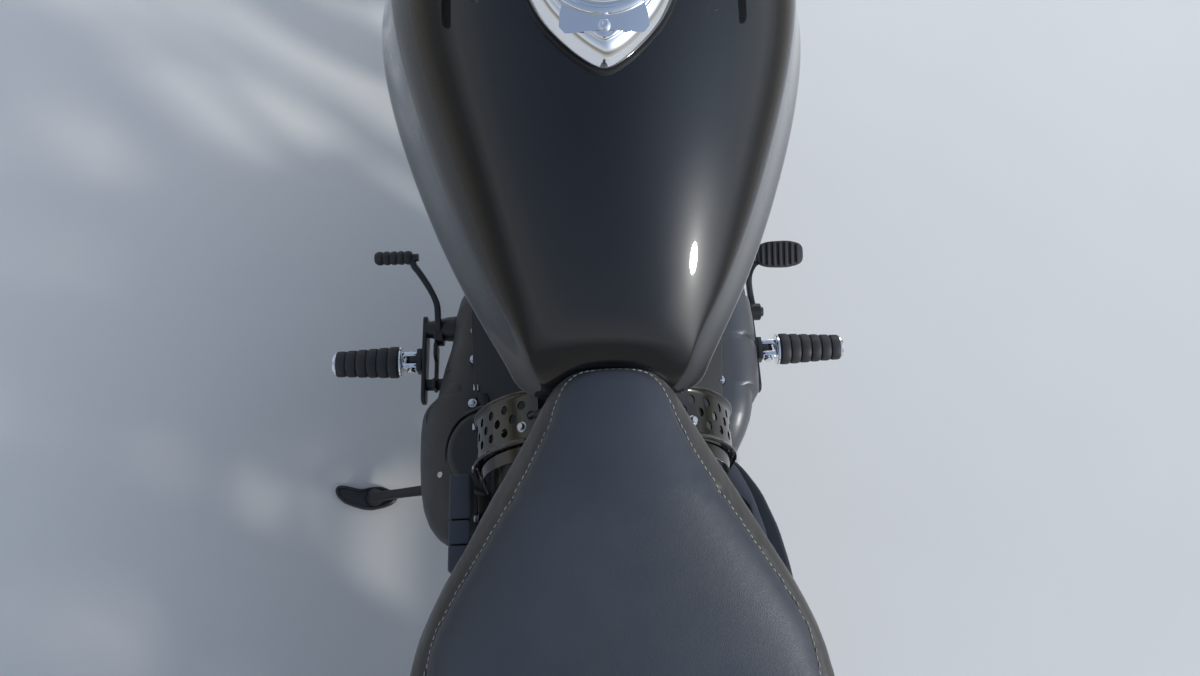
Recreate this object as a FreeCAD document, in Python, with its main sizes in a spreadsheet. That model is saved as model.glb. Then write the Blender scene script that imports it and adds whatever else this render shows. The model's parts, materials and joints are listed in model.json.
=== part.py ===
"""Cruiser motorcycle, leaning on its side stand.

Machine frame: millimetres, bike upright, origin on the ground under the rear axle,
X forward, Y to the rider's left, Z up. Each sub-part is modelled in that frame or in
one of its own that the machine frame carries, and the whole then leans onto its stand.
"""
import FreeCAD, Part
import math
import os
import re
from types import SimpleNamespace
from FreeCAD import Placement, Rotation, Vector

doc = FreeCAD.newDocument("CruiserMotorcycle")
sheet = doc.addObject("Spreadsheet::Sheet", "Sizes")

# Driving dimensions: alias, value in mm or degrees, what it is
SIZES = [
    ("seatGap", 0.3, "gap between a piece and what it seats on"),
    ("runGap", 0.05, "radial clearance of a shaft in its bore"),
    ("leanAngle", 10, "lean to the left on the stand"),
    ("wheelbase", 1580, "rear axle to front axle"),
    ("rakeAngle", 31, "steering head angle from vertical"),
    ("trail", 130, "steering axis ahead of the front contact"),
    ("frontTyreRadius", 331, "front tyre, outer"),
    ("frontTyreWidth", 100, "front tyre, section width"),
    ("frontCrown", 50, "front tread crown radius"),
    ("frontRimRadius", 241.3, "front bead seat"),
    ("frontRimWidth", 76, "front rim over its edges"),
    ("rearTyreRadius", 323, "rear tyre, outer"),
    ("rearTyreWidth", 150, "rear tyre, section width"),
    ("rearCrown", 80, "rear tread crown radius"),
    ("rearRimRadius", 203.2, "rear bead seat"),
    ("rearRimWidth", 112, "rear rim over its edges"),
    ("treadStep", 20, "angle of the first tread band round the crown"),
    ("treadShoulder", 47, "angle at which the tread's second band ends"),
    ("rimDepth", 17, "rim depth at its well"),
    ("rimEdge", 8, "rim thickness at its edge"),
    ("spokePairs", 7, "pairs of cast spokes"),
    ("spokeThick", 16, "cast spoke across the wheel"),
    ("spokeRoot", 15, "cast spoke width at the hub"),
    ("spokeTip", 10, "cast spoke width at the rim"),
    ("spokeSpread", 17, "angle between a pair's tips"),
    ("axleRadius", 12.5, "wheel axle, outer"),
    ("axleBore", 8, "wheel axle, through bore"),
    ("frontHubRadius", 30, "front hub barrel"),
    ("frontHubRight", 56, "front hub, right face"),
    ("rearHubRadius", 38, "rear hub barrel"),
    ("discThick", 5, "brake disc thickness"),
    ("frontDiscRadius", 149, "front disc, outer"),
    ("frontDiscInner", 112, "front disc, inner edge of its band"),
    ("frontDiscPlace", 58, "front disc, inner face"),
    ("rearDiscRadius", 130, "rear disc, outer"),
    ("rearDiscInner", 94, "rear disc, inner edge of its band"),
    ("rearDiscPlace", 86, "rear disc, inner face, on the right"),
    ("discHoles", 8, "windows round a disc's carrier"),
    ("padGap", 1.5, "brake pad to disc"),
    ("legSpread", 98, "fork leg from the middle"),
    ("sliderRadius", 28, "fork slider"),
    ("sliderBottom", -34, "slider's foot below the axle"),
    ("sliderTop", 330, "slider's top above the axle"),
    ("tubeRadius", 20.5, "fork tube"),
    ("tubeTop", 642, "fork tube's top"),
    ("lowerClampBottom", 425, "lower clamp, underside"),
    ("headBottom", 462, "head tube, lower end"),
    ("headTop", 598, "head tube, upper end"),
    ("upperClampTop", 632, "upper clamp, top face"),
    ("headRadius", 30, "head tube, outer"),
    ("stemRadius", 19.7, "steering stem"),
    ("barRadius", 12.7, "handlebar"),
    ("gripRadius", 17, "handlebar grip"),
    ("frameTube", 14, "cradle tube radius"),
    ("railTube", 12, "rear rail tube radius"),
    ("backboneTube", 25, "backbone tube radius"),
    ("cradleSpread", 112, "lower cradle rail from the middle"),
    ("uprightSpread", 128, "rear upright from the middle"),
    ("cradleHeight", 160, "lower cradle rail height"),
    ("pivotX", 500, "swingarm pivot ahead of the rear axle"),
    ("batteryGap", 33, "battery box ahead of the rear tyre"),
    ("batteryTop", 634, "battery box's lid"),
    ("pivotRise", 7, "swingarm pivot and lower shock eye over the rear axle"),
    ("armPlace", 122, "swingarm arm from the middle"),
    ("armThick", 24, "swingarm arm, across"),
    ("armHeight", 44, "swingarm arm, up"),
    ("beltPlace", 84, "belt, inner edge from the middle"),
    ("beltWidth", 20, "belt width"),
    ("beltThick", 5, "belt thickness"),
    ("rearPulleyRadius", 110, "rear pulley"),
    ("frontPulleyRadius", 50, "front pulley"),
    ("frontPulleyX", 588, "front pulley ahead of the rear axle"),
    ("frontPulleyZ", 335, "front pulley height"),
    ("crankX", 785, "crankshaft ahead of the rear axle"),
    ("crankZ", 330, "crankshaft height"),
    ("vAngle", 30, "each cylinder from vertical"),
    ("caseLeft", 145, "crankcase joint on the left"),
    ("caseRight", 155, "crankcase joint on the right"),
    ("deckHeight", 130, "cylinder base above the crankshaft"),
    ("barrelLength", 140, "finned barrel"),
    ("headLength", 75, "cylinder head"),
    ("rockerLength", 55, "rocker cover"),
    ("finWidth", 130, "barrel fin across"),
    ("finThick", 3.5, "fin thickness"),
    ("finCount", 8, "fins on a barrel"),
    ("coreWidth", 98, "barrel core across"),
    ("fenderGap", 37, "rear fender over the tyre"),
    ("fenderThick", 3, "rear fender sheet"),
    ("rearSkirt", 60, "rear fender's side below its crown"),
    ("frontSkirt", 49, "front fender's side below its crown"),
    ("rearFenderWidth", 190, "rear fender, outside"),
    ("frontFenderWidth", 128, "front fender, outside"),
    ("frontFenderGap", 14, "front fender over the tyre"),
    ("lampAhead", 160.7, "headlight ahead of the steering axis"),
    ("lampRise", 518.7, "headlight above the front axle, along the steering axis"),
    ("headerRadius", 20, "exhaust header"),
    ("pedalHeight", 380, "toe pads' height"),
    ("leverRadius", 6, "foot levers' arms"),
    ("shiftRubber", 8, "shift lever's rubber"),
    ("pegX", 777, "rider pegs ahead of the rear axle"),
    ("pegZ", 330, "rider pegs' height"),
    ("pegPivot", 240, "peg hinge from the middle"),
    ("pegReach", 344, "peg tip from the middle"),
    ("pegRadius", 20, "peg rubber at its flange"),
    ("pegTip", 17, "peg rubber at its end"),
    ("pegPin", 5, "peg hinge pin radius"),
    ("pegEar", 7, "peg clevis ear"),
    ("pegTongue", 14, "peg tongue between the ears"),
    ("indicatorOut", 148, "front indicator stalk, reach from the middle"),
    ("coverBack", 551, "perforated cover, rear edge"),
    ("coverLength", 62, "perforated cover, length"),
    ("coverMiddle", 74, "perforated cover, middle of its bend from the centre plane"),
    ("coverDrop", 54, "perforated cover's top below the rail that holds it"),
    ("beltBayGap", 12, "crankcase wall round the front pulley, clearance"),
    ("railZ", 726, "rail height over the perforated covers"),
    ("coverBend", 54, "perforated cover, outer bend radius"),
    ("coverSheet", 2, "perforated cover, sheet"),
    ("coverSkirt", 44, "perforated cover, straight part below the bend"),
    ("coverHole", 4, "perforated cover, hole radius"),
    ("capX", 824, "fuel cap ahead of the rear axle"),
    ("capRadius", 32, "fuel cap"),
    ("dialX", 952, "speedometer ahead of the rear axle"),
    ("dialRadius", 43, "speedometer"),
    ("plateThick", 4, "number plate bracket"),
    ("plateHole", 3.5, "number plate screw hole"),
    ("spoolHole", 4.25, "paddock spool thread in the swingarm"),
    ("spoolX", 92, "paddock spool ahead of the rear axle"),
    ("standPivotX", 657, "side stand hinge ahead of the rear axle"),
    ("standPivotY", 140, "side stand hinge from the middle"),
    ("standPivotZ", 150, "side stand hinge height"),
    ("standFootY", 352, "side stand foot's middle"),
    ("standPin", 7, "side stand hinge pin radius"),
    ("standLug", 12, "side stand lug thickness"),
    ("standEar", 7, "side stand clevis ear"),
    ("standOver", 0.06, "forward tilt of the stand's hinge axis"),
]
for row, (alias, value, note) in enumerate(SIZES, start=1):
    sheet.set("A%d" % row, alias)
    sheet.set("B%d" % row, str(value))
    sheet.set("C%d" % row, note)
    sheet.setAlias("B%d" % row, alias)
doc.recompute()
S = SimpleNamespace(**{alias: float(sheet.get(alias)) for alias, value, note in SIZES})

X, Y, Z = Vector(1, 0, 0), Vector(0, 1, 0), Vector(0, 0, 1)
HERE = Placement()
nodes = []


# Helpers for objects of the document

def bound(text):
    """An expression in which each alias reads its cell of the sheet."""
    return re.sub(r"[A-Za-z]\w+", lambda m: "Sizes." + m.group() if hasattr(S, m.group()) else m.group(), text)


def at(x=0, y=0, z=0, axis=Z, angle=0):
    return Placement(Vector(x, y, z), Rotation(axis, angle))


def along(origin, direction, roll=0):
    """A place whose Z runs along a direction."""
    return Placement(origin, Rotation(Z, direction).multiply(Rotation(Z, roll)))


def prim(kind, label, place=HERE, **sizes):
    """A Part primitive whose sizes are bound to the sheet."""
    obj = doc.addObject("Part::" + kind, label)
    for name, text in sizes.items():
        obj.setExpression(name, bound(str(text)))
    obj.Placement = place
    return obj


def fuse(label, parts):
    obj = doc.addObject("Part::MultiFuse", label)
    obj.Shapes = parts
    return obj


def cut(label, base, tool):
    obj = doc.addObject("Part::Cut", label)
    obj.Base = base
    obj.Tool = tool
    return obj


def feature(label, shape, local=HERE):
    obj = doc.addObject("Part::Feature", label)
    # A compound keeps a shape's own place under the object's
    obj.Shape = Part.makeCompound([shape]) if shape.ShapeType == "Solid" else shape
    return keep(obj, local)


def keep(obj, local=HERE):
    """Marks an object as a sub-part, with its place in the machine frame."""
    nodes.append((obj, local))
    return obj


# Helpers for shapes

def edges_of(path, close=True):
    """Lines, and arcs where a point is marked as lying on one: (x, y) or ("via", x, y)."""
    points = list(path)
    if close:
        points.append(points[0])
    edges = []
    place = 0
    while place < len(points) - 1:
        start = Vector(points[place][0], points[place][1], 0)
        nxt = points[place + 1]
        if nxt[0] == "via":
            end = Vector(points[place + 2][0], points[place + 2][1], 0)
            edges.append(Part.Arc(start, Vector(nxt[1], nxt[2], 0), end))
            place += 2
        else:
            edges.append(Part.LineSegment(start, Vector(nxt[0], nxt[1], 0)))
            place += 1
    return edges


def face_of(path):
    return Part.Face(Part.Wire([e.toShape() for e in edges_of(path)]))


def plate_xz(path, low, high):
    """An outline in X and Z, solid from y = low to y = high."""
    face = face_of(path)
    face.rotate(Vector(), X, 90)
    face.translate(Vector(0, low, 0))
    return face.extrude(Vector(0, high - low, 0))


def plate_xy(path, low, high):
    face = face_of(path)
    face.translate(Vector(0, 0, low))
    return face.extrude(Vector(0, 0, high - low))


def turned_y(profile, angle=360, start=0):
    """A profile of (radius, y) turned about the Y axis, from the +X side upwards."""
    face = face_of(profile)
    face.rotate(Vector(), Y, -start)
    return face.revolve(Vector(), Y, -angle)


def rod(start, end, radius):
    """A round bar from one point to another."""
    run = end - start
    return Part.makeCylinder(radius, run.Length, start, run)


def rounded_path(points, radius):
    """Straight runs joined by tangent arcs."""
    edges = []
    last = points[0]
    for before, corner, after in zip(points, points[1:], points[2:]):
        back = (before - corner).normalize()
        ahead = (after - corner).normalize()
        half_turn = (math.pi - back.getAngle(ahead)) / 2
        room = 0.48 * min((before - corner).Length, (after - corner).Length)
        bend = min(radius, room / math.tan(half_turn))
        reach = bend * math.tan(half_turn)
        inward = (back + ahead).normalize()
        middle = corner + inward * (bend / math.cos(half_turn) - bend)
        first = corner + back * reach
        edges.append(Part.LineSegment(last, first).toShape())
        last = corner + ahead * reach
        edges.append(Part.Arc(first, middle, last).toShape())
    edges.append(Part.LineSegment(last, points[-1]).toShape())
    return Part.Wire(edges)


def tube(points, radius, bend):
    """A round tube through points given as (x, y, z), its bends of one radius."""
    corners = [Vector(*p) for p in points]
    section = Part.Wire(Part.makeCircle(radius, corners[0], corners[1] - corners[0]))
    return rounded_path(corners, bend).makePipeShell([section], True, False)


def mirrored(shape):
    return shape.mirror(Vector(), Y)


def both(shape):
    """A piece on the left with its mirror on the right."""
    return [shape, mirrored(shape)]


def joined(shapes):
    whole = shapes[0].fuse(shapes[1:])
    return whole.removeSplitter()


def ribbed_loft(sections):
    """A closed body through wires that share their number of edges."""
    return Part.makeLoft(sections, True, False)


# Frames that the machine frame carries
STEER = Placement(Vector(S.wheelbase, 0, S.frontTyreRadius), Rotation(Y, -S.rakeAngle))
REAR = at(0, 0, S.rearTyreRadius)
rake = math.radians(S.rakeAngle)
pivotZ = S.rearTyreRadius + S.pivotRise
# The steering axis stands this far behind the front axle, square to itself
axleOffset = S.frontTyreRadius * math.sin(rake) - S.trail * math.cos(rake)
CRANK = at(S.crankX, 0, S.crankZ)


def steered(x, y, z):
    """A machine point as the steering frame sees it."""
    p = STEER.inverse().multVec(Vector(x, y, z))
    return (p.x, p.y, p.z)


# Helpers for PartDesign bodies

def plane_of(body, role):
    return next(f for f in body.Origin.OriginFeatures if f.Role == role)


def sketch_on(body, name, role, offset=0):
    sketch = body.newObject("Sketcher::SketchObject", name)
    sketch.AttachmentSupport = [(plane_of(body, role), "")]
    sketch.MapMode = "FlatFace"
    sketch.AttachmentOffset = at(0, 0, offset)
    return sketch


def design(label):
    body = doc.addObject("PartDesign::Body", label)
    body.Label = label
    return body


def revolution(body, name, profile):
    """Turns a profile of (radius, y) about the body's Y axis."""
    sketch = sketch_on(body, name + "Sketch", "XY_Plane")
    sketch.addGeometry(edges_of(profile), False)
    turned = body.newObject("PartDesign::Revolution", name)
    turned.Profile = sketch
    turned.ReferenceAxis = (sketch, ["V_Axis"])
    turned.Angle = 360
    return turned


def pad(body, name, path, length, role="XZ_Plane", offset=0, midplane=False):
    sketch = sketch_on(body, name + "Sketch", role, offset)
    sketch.addGeometry(edges_of(path), False)
    solid = body.newObject("PartDesign::Pad", name)
    solid.Profile = sketch
    solid.setExpression("Length", bound(length))
    solid.Midplane = midplane
    return solid


def pocket(body, name, path, role="XZ_Plane"):
    """Cuts an outline right through, both ways from its plane."""
    sketch = sketch_on(body, name + "Sketch", role)
    sketch.addGeometry(edges_of(path), False)
    hole = body.newObject("PartDesign::Pocket", name)
    hole.Profile = sketch
    hole.Type = 1
    hole.Midplane = True
    return hole


def polar(body, name, features, count, angle=360):
    pattern = body.newObject("PartDesign::PolarPattern", name)
    pattern.Originals = features
    pattern.Axis = (plane_of(body, "Y_Axis"), [""])
    pattern.Angle = angle
    pattern.setExpression("Occurrences", bound(count))
    body.Tip = pattern
    return pattern


# Wheels and tyres

def tyre(label, radius, width, crown, rim, local):
    """A tyre: tread bands round the crown, straight side walls down to the beads."""
    half = width / 2
    centre = radius - crown
    crown_side = []
    for turn in (0, S.treadStep, S.treadShoulder):
        angle = math.radians(turn)
        crown_side.append((centre + crown * math.cos(angle), crown * math.sin(angle)))
    shoulder = centre + math.sqrt(max(crown * crown - half * half, 0))
    bead = 0.66 * half
    side = crown_side[1:] + [(shoulder, half), (rim, bead)]
    profile = crown_side[:1] + side + [(r, -y) for r, y in reversed(side)]
    return feature(label, turned_y(profile), local)


def cast_wheel(label, rim_radius, rim_width, hub_radius, hub_left, hub_right, local):
    """A cast wheel: rim, hub and pairs of spokes that spread towards the rim."""
    body = design(label)
    outer = rim_radius - S.seatGap
    half = rim_width / 2
    well = half * 0.36
    revolution(body, "Rim" + label, [
        (outer, -half), (outer, half), (outer - S.rimEdge, half), (outer - S.rimDepth, well),
        (outer - S.rimDepth, -well), (outer - S.rimEdge, -half)])
    bore = S.axleRadius + S.runGap
    revolution(body, "Hub" + label, [
        (bore, -hub_right), (hub_radius, -hub_right), (hub_radius, hub_left), (bore, hub_left)])
    reach = outer - S.rimDepth + 3
    spread = math.radians(S.spokeSpread / 2)
    arms = []
    for name, side in (("Ahead", 1), ("Behind", -1)):
        foot = side * S.spokeRoot * 0.55
        tip = side * reach * math.tan(spread)
        arms.append(pad(body, "Spoke" + name + label, [
            (hub_radius * 0.8, foot - S.spokeRoot / 2), (hub_radius * 0.8, foot + S.spokeRoot / 2),
            (reach, tip + S.spokeTip / 2), (reach, tip - S.spokeTip / 2)],
            "spokeThick", midplane=True))
    polar(body, "Spokes" + label, arms, "spokePairs")
    return keep(body, local)


tyre("front_tyre", S.frontTyreRadius, S.frontTyreWidth, S.frontCrown, S.frontRimRadius, STEER)
tyre("rear_tyre", S.rearTyreRadius, S.rearTyreWidth, S.rearCrown, S.rearRimRadius, REAR)
cast_wheel("front_wheel", S.frontRimRadius, S.frontRimWidth, S.frontHubRadius,
           S.frontDiscPlace - S.seatGap, S.frontHubRight, STEER)
cast_wheel("rear_wheel", S.rearRimRadius, S.rearRimWidth, S.rearHubRadius,
           S.beltPlace - S.seatGap, S.rearDiscPlace - S.seatGap, REAR)


def brake_disc(label, outer, inner, low, local):
    """A disc band on a carrier with windows between its arms."""
    body = design(label)
    bore = S.axleRadius + 3
    revolution(body, "Band" + label, [
        (bore, low), (outer, low), (outer, low + S.discThick), (bore, low + S.discThick)])
    middle = (S.frontHubRadius + 14 + inner) / 2
    deep = (inner - S.frontHubRadius - 14) / 2
    window = pocket(body, "Window" + label, [
        (middle - deep, -deep * 0.5), (middle + deep, -deep), (middle + deep, deep), (middle - deep, deep * 0.5)])
    polar(body, "Windows" + label, [window], "discHoles")
    return keep(body, local)


brake_disc("front_disc", S.frontDiscRadius, S.frontDiscInner, S.frontDiscPlace, STEER)
brake_disc("rear_disc", S.rearDiscRadius, S.rearDiscInner, -S.rearDiscPlace - S.discThick, REAR)


def axle(label, half, collar_left, collar_right, local):
    """A hollow axle with the spacers that stand between the hub and what carries it."""
    whole = rod(Vector(0, -half, 0), Vector(0, half, 0), S.axleRadius)
    for low, high in (collar_left, collar_right):
        whole = whole.fuse(rod(Vector(0, low, 0), Vector(0, high, 0), S.axleRadius + 6))
    bore = rod(Vector(0, -half, 0), Vector(0, half, 0), S.axleBore)
    return feature(label, whole.cut(bore).removeSplitter(), local)


sliderIn = S.legSpread - S.sliderRadius
axle("front_axle", S.legSpread + S.sliderRadius + 6,
     (S.frontDiscPlace + S.discThick + S.seatGap, sliderIn - 6),
     (-sliderIn + 6, -S.frontHubRight - S.seatGap), STEER)
armIn = S.armPlace - S.armThick / 2
armOut = S.armPlace + S.armThick / 2
axle("rear_axle", armOut + 14, (S.beltPlace + S.beltWidth + S.seatGap, armIn - S.seatGap),
     (-armIn + S.seatGap, -S.rearDiscPlace - S.discThick - S.seatGap), REAR)

# Belt drive on the left


def pulley(label, radius, local, windows):
    """A belt pulley with guide flanges and a hub that reaches its shaft."""
    body = design(label)
    low = S.beltPlace
    high = S.beltPlace + S.beltWidth
    revolution(body, "Wheel" + label, [
        (S.axleRadius + 3, low), (radius - 2, low), (radius - 2, high), (S.axleRadius + 3, high)])
    if windows:
        inner = S.rearHubRadius + 10
        outer = radius - 16
        hole = pocket(body, "Hole" + label, [
            (inner, -6), (outer, -14), (outer, 14), (inner, 6)])
        polar(body, "Holes" + label, [hole], "discHoles")
    return keep(body, local)


pulley("rear_pulley", S.rearPulleyRadius, REAR, True)
pulley("front_pulley", S.frontPulleyRadius, at(S.frontPulleyX, 0, S.frontPulleyZ), False)


def belt_outline(rear, front, grow):
    """Two arcs and the two straight runs that touch both pulleys."""
    centre = Vector(*rear[:2], 0)
    ahead = Vector(*front[:2], 0)
    big = rear[2] + grow
    small = front[2] + grow
    line = ahead - centre
    tilt = math.atan2(line.y, line.x)
    lean = math.acos((big - small) / line.Length)
    spot = lambda c, r, a: (c.x + r * math.cos(a), c.y + r * math.sin(a))
    up = tilt + lean
    down = tilt - lean
    return [spot(centre, big, up), ("via",) + spot(centre, big, tilt + math.pi), spot(centre, big, down),
            spot(ahead, small, down), ("via",) + spot(ahead, small, tilt), spot(ahead, small, up)]


rearRun = (0, S.rearTyreRadius, S.rearPulleyRadius)
frontRun = (S.frontPulleyX, S.frontPulleyZ, S.frontPulleyRadius)
belt = plate_xz(belt_outline(rearRun, frontRun, S.beltThick), S.beltPlace, S.beltPlace + S.beltWidth)
belt = belt.cut(plate_xz(belt_outline(rearRun, frontRun, -1.5), S.beltPlace - 1,
                         S.beltPlace + S.beltWidth + 1))
feature("drive_belt", belt)

# Frame: head tube, backbone, double cradle and rear rails

headFoot = STEER.multVec(Vector(-axleOffset, 0, S.headBottom))
headCrown = STEER.multVec(Vector(-axleOffset, 0, S.headTop))
headMiddle = (headFoot + headCrown) * 0.5
cradleTop = headFoot + (headCrown - headFoot) * 0.37
coverHeight = S.railZ - S.coverDrop - S.coverBend
backbone = [(headMiddle.x, 0, headMiddle.z + 4), (900, 0, 754), (590, 0, 738)]
CRADLE = [
    (cradleTop.x, 14, cradleTop.z), (1040, 100, 290), (985, S.cradleSpread, S.cradleHeight),
    (590, S.cradleSpread, S.cradleHeight), (505, S.uprightSpread, 235), (478, S.uprightSpread, 440),
    (442, 106, 668)]
RAIL = [(606, 14, S.railZ + 10), (560, 42, S.railZ - 6), (440, 102, 672), (330, 116, 646), (150, 112, 655), (-110, 112, 638)]
frame_parts = [tube(backbone, S.backboneTube, 200)]
frame_parts += both(tube(CRADLE, S.frameTube, 70))
frame_parts += both(tube(RAIL, S.railTube, 120))
head = rod(headFoot, headCrown, S.headRadius)
cross = [((1040, 290), 100, 12), ((505, 235), S.uprightSpread, 12), ((330, 646), 116, 10), ((985, 164), S.cradleSpread, 12)]
for (x, z), half, radius in cross:
    frame_parts.append(rod(Vector(x, -half, z), Vector(x, half, z), radius))
swingFace = 92
for side in (1, -1):
    frame_parts.append(rod(Vector(S.pivotX, side * (swingFace + S.seatGap), pivotZ),
                           Vector(S.pivotX, side * (S.uprightSpread + 12), pivotZ), 22))
    # Bosses that carry the rear fender and the shocks
    for x, z in ((100, 652.7), (-90, 639.3)):
        frame_parts.append(rod(Vector(x, side * (S.rearFenderWidth / 2 + S.seatGap), z),
                               Vector(x, side * 112, z), 9))
    frame_parts.append(rod(Vector(105, side * 112, 653), Vector(105, side * 158, 653), 8))
    # Seat pads and tank mounts
    frame_parts.append(Part.makeBox(40, 16, 14, Vector(310, side * 116 - 8, 650)))
    frame_parts.append(rod(Vector(1045, 0, 762), Vector(1045, side * (38 - S.seatGap), 762), 11))
    # Tabs that hold the perforated covers
    tabX = S.coverBack + 24
    frame_parts.append(rod(Vector(tabX, side * 34, S.railZ),
                           Vector(tabX, side * (S.coverMiddle + 10), coverHeight + 38), 5))
# Lug of the side stand, square to its hinge axis
standFootZ = S.standFootY * math.tan(math.radians(S.leanAngle))
standRun = Vector(0, S.standFootY - S.standPivotY, standFootZ + 10 - S.standPivotZ).normalize()
standAxis = Vector(-S.standOver, 0, 0) + X.cross(standRun)
standAxis = (standAxis - standRun * standAxis.dot(standRun)).normalize()
standPivot = Vector(S.standPivotX, S.standPivotY, S.standPivotZ)
STAND = Placement(standPivot, Rotation(standRun, standAxis.cross(standRun), standAxis, "ZXY"))
lugHalf = S.standLug / 2
lug = Part.makeBox(40, 36, S.standLug, Vector(-40, -18, -lugHalf))
lug = lug.fuse(Part.makeCylinder(18, S.standLug, Vector(0, 0, -lugHalf), Z))
lug.Placement = STAND
frame_parts.append(lug)
whole = joined(frame_parts + [head])
for side in (1, -1):
    whole = whole.cut(rod(Vector(S.coverBack, side * S.coverMiddle, coverHeight),
                          Vector(S.coverBack + S.coverLength, side * S.coverMiddle, coverHeight),
                          S.coverBend + S.seatGap))
whole = max(whole.Solids, key=lambda s: s.Volume)
whole = whole.cut(rod(headFoot - (headCrown - headFoot), headCrown * 2 - headFoot, S.stemRadius + S.seatGap))
pinHole = Part.makeCylinder(S.standPin + S.seatGap, 80, Vector(0, 0, -40), Z)
pinHole.Placement = STAND
whole = whole.cut(pinHole)
feature("frame", whole)

# Swingarm and rear shocks

pivot = Vector(S.pivotX, 0, pivotZ)
arm = Part.makeBox(400, S.armThick, S.armHeight, Vector(0, armIn, S.rearTyreRadius - S.armHeight / 2))
arm = arm.fuse(rod(Vector(0, armIn, S.rearTyreRadius), Vector(0, armOut, S.rearTyreRadius), 30))
knee = plate_xy([(400, armIn), (400, armOut), (S.pivotX - 42, 90), (S.pivotX, 90), (S.pivotX, 60), (440, 60)],
                S.rearTyreRadius - S.armHeight / 2, S.rearTyreRadius + S.armHeight / 2)
arm = arm.fuse(knee)
arm = arm.fuse(rod(Vector(30, armOut, pivotZ), Vector(30, 158, pivotZ), 8))
arms = joined(both(arm) + [rod(pivot - Y * swingFace, pivot + Y * swingFace, 24)])
arms = arms.cut(rod(Vector(0, -200, S.rearTyreRadius), Vector(0, 200, S.rearTyreRadius), S.axleRadius + S.seatGap))
for side in (1, -1):
    arms = arms.cut(rod(Vector(S.spoolX, side * (armOut + 1), S.rearTyreRadius),
                        Vector(S.spoolX, side * (armOut - 20), S.rearTyreRadius), S.spoolHole))
feature("swingarm", arms)

shockLow = Vector(30, 146, pivotZ)
shockHigh = Vector(105, 146, 653)
run = shockHigh - shockLow
unit = Vector(run).normalize()
shock = rod(shockLow, shockHigh, 9)
for eye in (shockLow, shockHigh):
    shock = shock.fuse(rod(eye - Y * 10, eye + Y * 10, 17))
coils = 8
coilPitch = (run.Length - 62 - 78) / coils
for coil in range(coils):
    start = shockLow + unit * (62 + coil * coilPitch)
    shock = shock.fuse(rod(start, start + unit * 10, 26))
shock = shock.fuse(rod(shockLow + unit * 40, shockLow + unit * 62, 28))
shock = shock.fuse(rod(shockHigh - unit * 70, shockHigh - unit * 30, 28))
for eye in (shockLow, shockHigh):
    shock = shock.cut(rod(eye - Y * 12, eye + Y * 12, 8 + S.seatGap))
feature("rear_shocks", Part.makeCompound(both(shock)))

# Engine

caseLow = 185
CASE = [(574, 218), (612, caseLow), (900, caseLow), (945, 240), (952, 330)]
v = math.radians(S.vAngle)
deckHalf = 60


def deck(side, across):
    """A point on the plane that a cylinder stands on, in X and Z."""
    return (S.crankX + side * (S.deckHeight * math.sin(v) + across * math.cos(v)),
            S.crankZ + S.deckHeight * math.cos(v) - across * math.sin(v))


CASE += [deck(1, deckHalf), deck(1, -deckHalf), deck(-1, -deckHalf), deck(-1, deckHalf), (600, 400), (560, 385), (545, 300)]
case = plate_xz(CASE, -S.caseRight, S.beltPlace - 6)
beltBay = S.frontPulleyX + S.frontPulleyRadius + S.beltBayGap
front_half = plate_xz(CASE, S.beltPlace - 7, S.caseLeft).common(
    Part.makeBox(600, 400, 500, Vector(beltBay, -200, 100)))
case = case.fuse(front_half)
# Lugs that bolt to the cradle's cross tubes and stand on its rails
case = case.fuse(Part.makeBox(1028 - S.seatGap - 930, 60, 26, Vector(930, -30, 277)))
case = case.fuse(Part.makeBox(560 - 517 - S.seatGap, 50, 20, Vector(517 + S.seatGap, -25, 225)))
for side in (1, -1):
    for x in (655, 850):
        foot = Part.makeBox(44, 24, 12, Vector(x, side * 110 - 12, S.cradleHeight + S.frameTube + S.seatGap))
        case = case.fuse(foot)
# Shaft of the front pulley
case = case.fuse(rod(Vector(S.frontPulleyX, 70, S.frontPulleyZ),
                     Vector(S.frontPulleyX, S.beltPlace + S.beltWidth, S.frontPulleyZ), S.axleRadius + 3 - S.seatGap))
feature("crankcase", case.removeSplitter())


def octagon(width, corner):
    half = width / 2
    near = half - corner
    return [(half, -near), (half, near), (near, half), (-near, half), (-half, near), (-half, -near),
            (-near, -half), (near, -half)]


def barrel():
    """A finned barrel on its own axis, its base at the deck."""
    body = design("BarrelMaster")
    pad(body, "Core", octagon(S.coreWidth, 24), "barrelLength", "XY_Plane", S.deckHeight)
    pitch = S.barrelLength / S.finCount
    fin = pad(body, "Fin", octagon(S.finWidth, 26), "finThick", "XY_Plane", S.deckHeight + pitch * 0.4)
    rows = body.newObject("PartDesign::LinearPattern", "Fins")
    rows.Originals = [fin]
    rows.Direction = (plane_of(body, "Z_Axis"), [""])
    rows.setExpression("Length", bound("barrelLength * (finCount - 1) / finCount"))
    rows.setExpression("Occurrences", bound("finCount"))
    body.Tip = rows
    doc.recompute()
    return body.Shape.copy()


def head_and_rocker():
    """A cylinder head with four fins and its rocker cover."""
    base = S.deckHeight + S.barrelLength
    head_shape = plate_xy(octagon(S.coreWidth + 8, 22), base, base + S.headLength)
    for fin in range(4):
        low = base + 4 + fin * 15
        head_shape = head_shape.fuse(plate_xy(octagon(S.finWidth, 26), low, low + S.finThick))
    low = base + S.headLength
    half_x = 54
    half_y = 62
    slope = 16
    cover = [(-half_x, low), (half_x, low), (half_x, low + S.rockerLength - slope),
             (half_x - slope, low + S.rockerLength), (slope - half_x, low + S.rockerLength),
             (-half_x, low + S.rockerLength - slope)]
    rocker = plate_xz(cover, -half_y, half_y)
    return head_shape.fuse(rocker).removeSplitter()


def on_engine(shape, side):
    """A shape on its own cylinder's axis, turned into the V."""
    turned = shape.copy()
    turned.Placement = CRANK.multiply(at(0, 0, 0, Y, side * S.vAngle))
    return turned


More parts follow.
